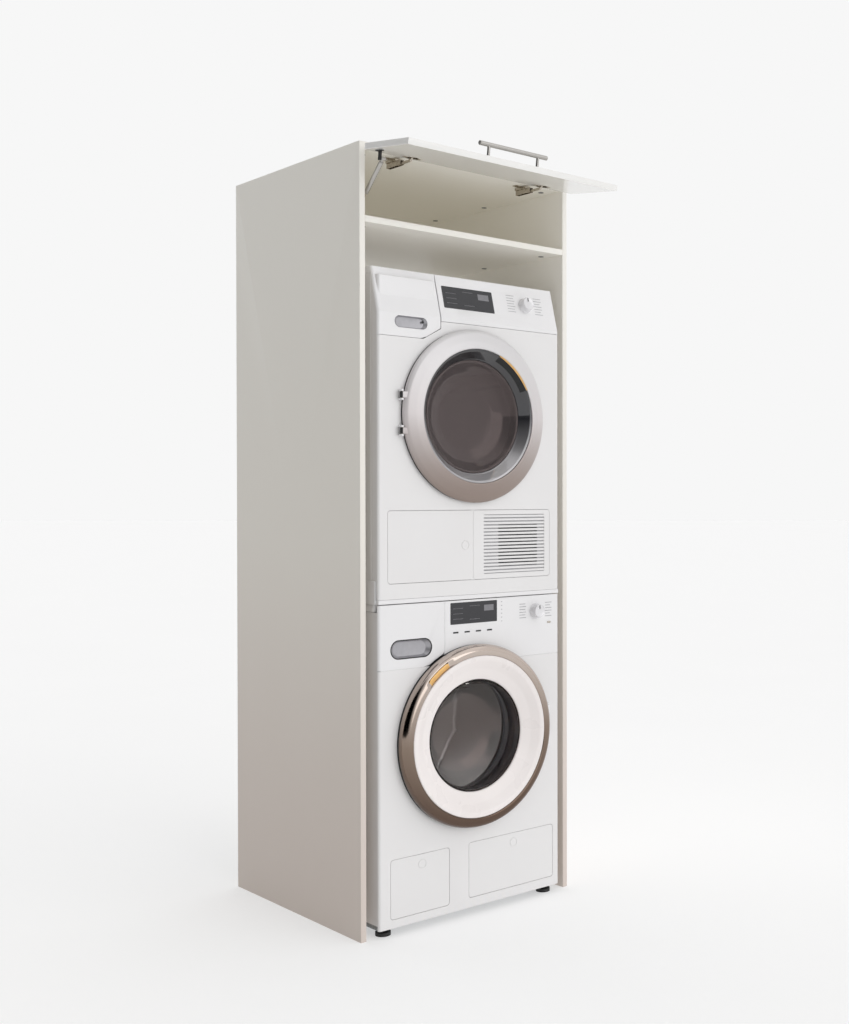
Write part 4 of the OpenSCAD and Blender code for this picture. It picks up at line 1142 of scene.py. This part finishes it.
class LAUNDRY_OT_dryer_controls(bpy.types.Operator):
    """Dryer's leaning control panel with its display and knob, and the water container's front"""
    bl_idname = "laundry.dryer_controls"
    bl_label = "Dryer controls"

    def execute(self, context):
        white = moulded_white()
        top = KNEE + math.hypot(LEAN, DRYER_TOP - 1 - KNEE)
        x0 = DFASCIA_LOW[0]
        display = box_mm("dryer_display")
        d0, d1 = KNEE + 31, KNEE + 92
        window = rounded_rect(display[0][0] - 0.4, display[1][0] + 0.4, d0 - 0.4, d1 + 0.4, 2.0)
        face = leaned(framed_tile(rounded_rect(x0, SIDE_X, KNEE, top, 0.3), window, FRONT, 8.0, 0.7))
        foot = slab((x0, FRONT, DFASCIA_LOW[2]), (SIDE_X, FRONT + 8, KNEE + 0.6), 1, 0.5, 0.3)
        rolls = [edge_roll(1, DFASCIA_LOW[2], KNEE + 0.5), leaned(edge_roll(1, KNEE, top))]
        k_low, k_high = box_mm("dryer_knob")
        kx, kz = (k_low[0] + k_high[0]) / 2, KNEE + 65
        marks = legend(kx, kz + 2, 7, 7.8, 34, 62)
        stand_in("dryer_control_panel", "dryer_fascia",
                 [face, foot] + rolls + [leaned(d) for d in dashes(marks, FRONT, paint=1)],
                 [white, grey_print()])
        glass = leaned(slab((display[0][0], FRONT - 0.5, d0), (display[1][0], FRONT + 3, d1), 1, 1.8, 0.5))
        icons = [[display[0][0] + 10, display[0][0] + 44, z, z + 1.4] for z in (d0 + 14, d0 + 28, d0 + 42)]
        icons += [[display[0][0] + 66, display[0][0] + 100, z, z + 1.4] for z in (d0 + 12, d0 + 50)]
        screen = slab((display[1][0] - 50, FRONT - 0.65, d1 - 28), (display[1][0] - 14, FRONT, d1 - 11), 1,
                      1.0, 0.1, 1)
        stand_in("dryer_display_window", "dryer_display",
                 [glass, leaned(screen)] + [leaned(d) for d in dashes(icons, FRONT - 0.5, 0.12, 1)],
                 [black_glass(), display_print()])
        radius = (k_high[0] - k_low[0]) / 2
        stand_in("dryer_programme_knob", "dryer_knob", [leaned(p) for p in knob(kx, kz, radius, 20)],
                 [plated_knob(), black_rubber()])
        self.container(white, top)
        return {"FINISHED"}

    def container(self, white, top):
        low, right = CONTAINER_LOW[2], CONTAINER_HIGH[0]
        x0, x1, z0, z1 = -HW + 50, -HW + 150, KNEE - 36, KNEE - 6
        slot = pill(x0, x1, z0, z1)
        middle = np.array([(x0 + x1) / 2, (z0 + z1) / 2])
        plain = rounded_rect(-SIDE_X, right, low, KNEE, 0.3, 12, 8)
        # The lower right corner is cut by a slanting line beside the door
        corner = np.array([[right - 54, low], [right, low + 31]])
        along = (corner[1] - corner[0]) / np.linalg.norm(corner[1] - corner[0])
        normal = np.array([along[1], -along[0]])
        over = np.maximum((plain - corner[0]) @ normal, 0)[:, None]
        outer = plain - over * normal
        face = framed_tile(outer, slot, FRONT, 8.0, 1.0)
        upper = leaned(slab((-SIDE_X, FRONT, KNEE - 0.4), (right, FRONT + 8, top), 1, 0.5, 0.3))
        rolls = [edge_roll(-1, low, KNEE + 0.5), leaned(edge_roll(-1, KNEE, top))]
        dish = dished(slot, middle, FRONT + 0.6, 8.0, paint=2)
        eye = moved(lathe(soften([[3.4, 0], [3.4, -0.8], [0, -0.8], [0, 0]], 0.2, 3), 0, 32, 1),
                    (x1 - 12, FRONT + 4.5, z1 - 11))
        tank = slab((-HW + 8, FRONT + 12, DRYER_DOOR + 254), (right - 8, CONTAINER_HIGH[1], DRYER_TOP - 22),
                    2, 8, 3)
        stand_in("dryer_water_container", "dryer_container", [face, upper, dish, eye, tank] + rolls,
                 [white, black_rubber(), grip_grey()])


class LAUNDRY_OT_dryer_door(bpy.types.Operator):
    """Dryer's door: broad silver ring, dark conical bezel with a finger recess, and tinted glass"""
    bl_idname = "laundry.dryer_door"
    bl_label = "Dryer door"

    def execute(self, context):
        r, z, b, g = DRYER_RING, DRYER_DOOR, DRYER_BEZEL, DRYER_GLASS
        shape = soften([[r - 12, -5], [r, -5], [r, -13], [r - 9, -20], [r - 31, -27.5], [b + 3, -31],
                        [b, -29.5],
                        [b, -25], [r - 34, -22], [r - 14, -14]], 3.5, 6)
        # Behind the ring's edge, a black band is painted shadow of the gap to the front sheet
        stand_in("dryer_silver_ring", "dryer_door_ring",
                 [lathe(shifted(shape), z, 224), ring_gap_shadow(r, z, 1)] + hinge_knuckles(-r - 4, -1, z),
                 [satin_silver(), black_rubber()], angle=40.0)
        cone = [[g + 0.5, -1], [g + 3, -3], [b - 6, -25.5], [b - 0.2, -27.5], [b - 0.2, -24], [b + 10, -17],
                [b + 10, -2],
                [g + 6, 2], [g + 0.5, 3]]
        bezel = lathe(shifted(soften(cone, 1.5, 4)), z, 224)
        stand_in("dryer_dark_bezel", "dryer_door_bezel", [bezel] + self.accent(z, b),
                 [polished_anthracite(), copper_accent(), black_rubber()])
        bowl = [[g, -1], [g, 4], [g - 10, 14], [g - 30, 32], [g - 60, 40], [g - 100, 42], [0, 42], [0, 38],
                [g - 100, 38],
                [g - 62, 36], [g - 33, 28], [g - 14, 11], [g - 6, 0]]
        stand_in("dryer_glass", "dryer_door_glass", [lathe(shifted(soften(bowl, 5, 5)), z, 192)],
                 [tinted_glass()])
        return {"FINISHED"}

    def accent(self, z, b):
        """A copper lip just inside the silver ring over the grip's sector, and a black sheet under it as
        painted shade of the finger pocket.
        """
        out = []
        # The second section is black: painted shade in the pocket under the copper lip
        sections = [([[0.4, -30.5], [4.5, -28.6], [4.5, -27.0], [0.4, -27.0]], 1),
                    ([[4.5, -27.4], [15.0, -14.3], [15.0, -13.3], [4.5, -25.9]], 2)]
        a = np.radians(np.linspace(26, 68, 48))
        swell = np.sin(np.linspace(0, math.pi, 48)) ** 0.5
        for section, paint in sections:
            section = np.array(section)
            r = b - section[:, :1] * (0.3 + 0.7 * swell[None, :] if paint == 1 else 1.0) + 0 * a[None, :]
            y = FRONT + section[:, 1:] + 0 * a[None, :]
            points = np.stack([r * np.cos(a), y, z + r * np.sin(a)], -1)
            out.append(loft([points[:, k] for k in range(len(a))], paint=paint))
        return out


class LAUNDRY_OT_dryer_inside(bpy.types.Operator):
    """Dryer's drum and the finishes of its machinery"""
    bl_idname = "laundry.dryer_inside"
    bl_label = "Dryer inside"

    def execute(self, context):
        low, high = box_mm("dryer_drum")
        back = low[1] + 450
        shaft = bar(back - 14, high[1], 0, DRYER_DOOR, 10, 1.0, axis=1, paint=1)
        stand_in("dryer_drum_shell", "dryer_drum",
                 drum(DRYER_DOOR, (low, high), DRYER_GLASS + 14, back) + [shaft],
                 [drum_steel(), pressed_stainless()], uv=DRYER_DOOR)
        finish_nodes(["dryer_motor", "dryer_heat_exchanger"], cast_aluminium())
        return {"FINISHED"}


class LAUNDRY_OT_stage(bpy.types.Operator):
    """Pale floor, soft studio light and the camera"""
    bl_idname = "laundry.stage"
    bl_label = "Stage"

    def execute(self, context):
        s = context.scene.laundry_stack
        scene = context.scene
        floor = bpy.data.meshes.new("floor")
        half = 60.0
        floor.from_pydata([(-half, -half, 0), (half, -half, 0), (half, half, 0), (-half, half, 0)], [],
                          [(0, 1, 2, 3)])
        ground = bpy.data.objects.new("floor", floor)
        scene.collection.objects.link(ground)

        def pattern(tree, bsdf, where):
            mottle(tree, bsdf, where, "C4C4C4", "C8C8C8", 900)
        floor.materials.append(surface("studio_floor", {"Roughness": 0.9, "Specular IOR Level": 0.05,
                                                        "Emission Color": srgb("FFFFFF"),
                                                        "Emission Strength": 0.45}, pattern))
        self.surround(scene, s.dim_side)
        for name, way, power, spread in [("key", (0.15, -0.90, 0.32), s.key, 50),
                                         ("top", (0.1, -0.3, 1.0), s.top, 70)]:
            data = bpy.data.lights.new(name, "SUN")
            data.energy, data.angle = power, math.radians(spread)
            lamp = bpy.data.objects.new(name, data)
            lamp.rotation_euler = Vector(way).to_track_quat("Z", "Y").to_euler()
            scene.collection.objects.link(lamp)
        for name, y, z, power in (("washer_drum_lamp", 130, WASHER_DOOR + PORTHOLE - 30, s.drum_lamp),
                                  ("dryer_drum_lamp", 130, DRYER_DOOR + DRYER_GLASS + 40, s.drum_lamp / 3)):
            data = bpy.data.lights.new(name, "POINT")
            data.energy, data.shadow_soft_size = power, 6 * MM
            lamp = bpy.data.objects.new(name, data)
            lamp.location = Vector((60 * MM, (FRONT + y) * MM, z * MM))
            scene.collection.objects.link(lamp)
        self.camera(scene)
        scene.view_settings.view_transform = "Standard"
        return {"FINISHED"}

    def surround(self, scene, dim):
        """A white surround that falls to a dimmer grey on the left side, as from a dark flag there."""
        world = bpy.data.worlds.new("studio")
        world.use_nodes = True
        tree = world.node_tree
        where = put(tree, "ShaderNodeTexCoord")
        axes = put(tree, "ShaderNodeSeparateXYZ", {"Vector": where.outputs["Generated"]})
        side = put(tree, "ShaderNodeMapRange",
                   {"Value": axes.outputs["X"], "From Min": -0.7, "From Max": -0.25,
                                                "To Min": dim, "To Max": 1.0},
                                                interpolation_type="SMOOTHSTEP")
        sky = tree.nodes["Background"]
        sky.inputs["Color"].default_value = srgb("F7F7F7")
        tree.links.new(side.outputs["Result"], sky.inputs["Strength"])
        scene.world = world

    def camera(self, scene):
        """A camera that looks level with the middle of the cabinet from its front left corner."""
        data = bpy.data.cameras.new("camera")
        data.sensor_fit, data.sensor_width, data.lens = "AUTO", 36.0, 45.06
        data.shift_x, data.shift_y = -0.2104, -0.0026
        data.clip_end = 60.0
        cam = bpy.data.objects.new("camera", data)
        yaw, pitch = math.radians(44.08), math.radians(0.57)
        place_at = Vector((-2.0739, CABINET_FRONT * MM - 2.7974, 1.1246))
        cam.matrix_world = (Matrix.Translation(place_at) @ Matrix.Rotation(-yaw, 4, "Z")
                            @ Matrix.Rotation(math.pi / 2 - pitch, 4, "X"))
        scene.collection.objects.link(cam)
        scene.camera = cam


# ---- Settings, panel and registration ----

class LaundryStackSettings(bpy.types.PropertyGroup):
    """Sizes and light a user would change"""
    board_edge: FloatProperty(name="Board edge", description="How far a board's edge is rounded over",
                              default=0.0009, min=0.0002, max=0.003, unit="LENGTH")
    key: FloatProperty(name="Key light", description="Strength of the large soft light in front",
                       default=0.55, min=0.0)
    top: FloatProperty(name="Top light", description="Strength of the soft light from above", default=0.15,
                       min=0.0)
    drum_lamp: FloatProperty(name="Drum lamp", description="Power of the small lamp inside the washer's drum",
                             default=0.35, min=0.0, unit="POWER")
    dim_side: FloatProperty(name="Dim side",
                            description="Brightness of the surround on the left, of the right's",
                            default=0.0, min=0.0, max=1.0)


STEPS = [LAUNDRY_OT_boards, LAUNDRY_OT_flap, LAUNDRY_OT_washer_body, LAUNDRY_OT_washer_controls,
         LAUNDRY_OT_washer_door, LAUNDRY_OT_washer_inside, LAUNDRY_OT_dryer_body, LAUNDRY_OT_dryer_controls,
         LAUNDRY_OT_dryer_door, LAUNDRY_OT_dryer_inside, LAUNDRY_OT_stage]


class LAUNDRY_PT_panel(bpy.types.Panel):
    """Lists the settings and the steps"""
    bl_idname = "LAUNDRY_PT_panel"
    bl_label = "Laundry stack"
    bl_space_type = "VIEW_3D"
    bl_region_type = "UI"
    bl_category = "Laundry"

    def draw(self, context):
        for name in ("board_edge", "key", "top", "drum_lamp", "dim_side"):
            self.layout.prop(context.scene.laundry_stack, name)
        for step in STEPS:
            self.layout.operator(step.bl_idname)


def register():
    """Registers the settings, steps and panel."""
    for item in [LaundryStackSettings] + STEPS + [LAUNDRY_PT_panel]:
        bpy.utils.register_class(item)
    bpy.types.Scene.laundry_stack = PointerProperty(type=LaundryStackSettings)


def unregister():
    """Removes what register added."""
    del bpy.types.Scene.laundry_stack
    for item in [LAUNDRY_PT_panel] + STEPS[::-1] + [LaundryStackSettings]:
        bpy.utils.unregister_class(item)


def main():
    """Registers the add-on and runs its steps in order."""
    register()
    bpy.ops.laundry.boards()
    bpy.ops.laundry.flap()
    bpy.ops.laundry.washer_body()
    bpy.ops.laundry.washer_controls()
    bpy.ops.laundry.washer_door()
    bpy.ops.laundry.washer_inside()
    bpy.ops.laundry.dryer_body()
    bpy.ops.laundry.dryer_controls()
    bpy.ops.laundry.dryer_door()
    bpy.ops.laundry.dryer_inside()
    bpy.ops.laundry.stage()


if __name__ == "__main__":
    main()
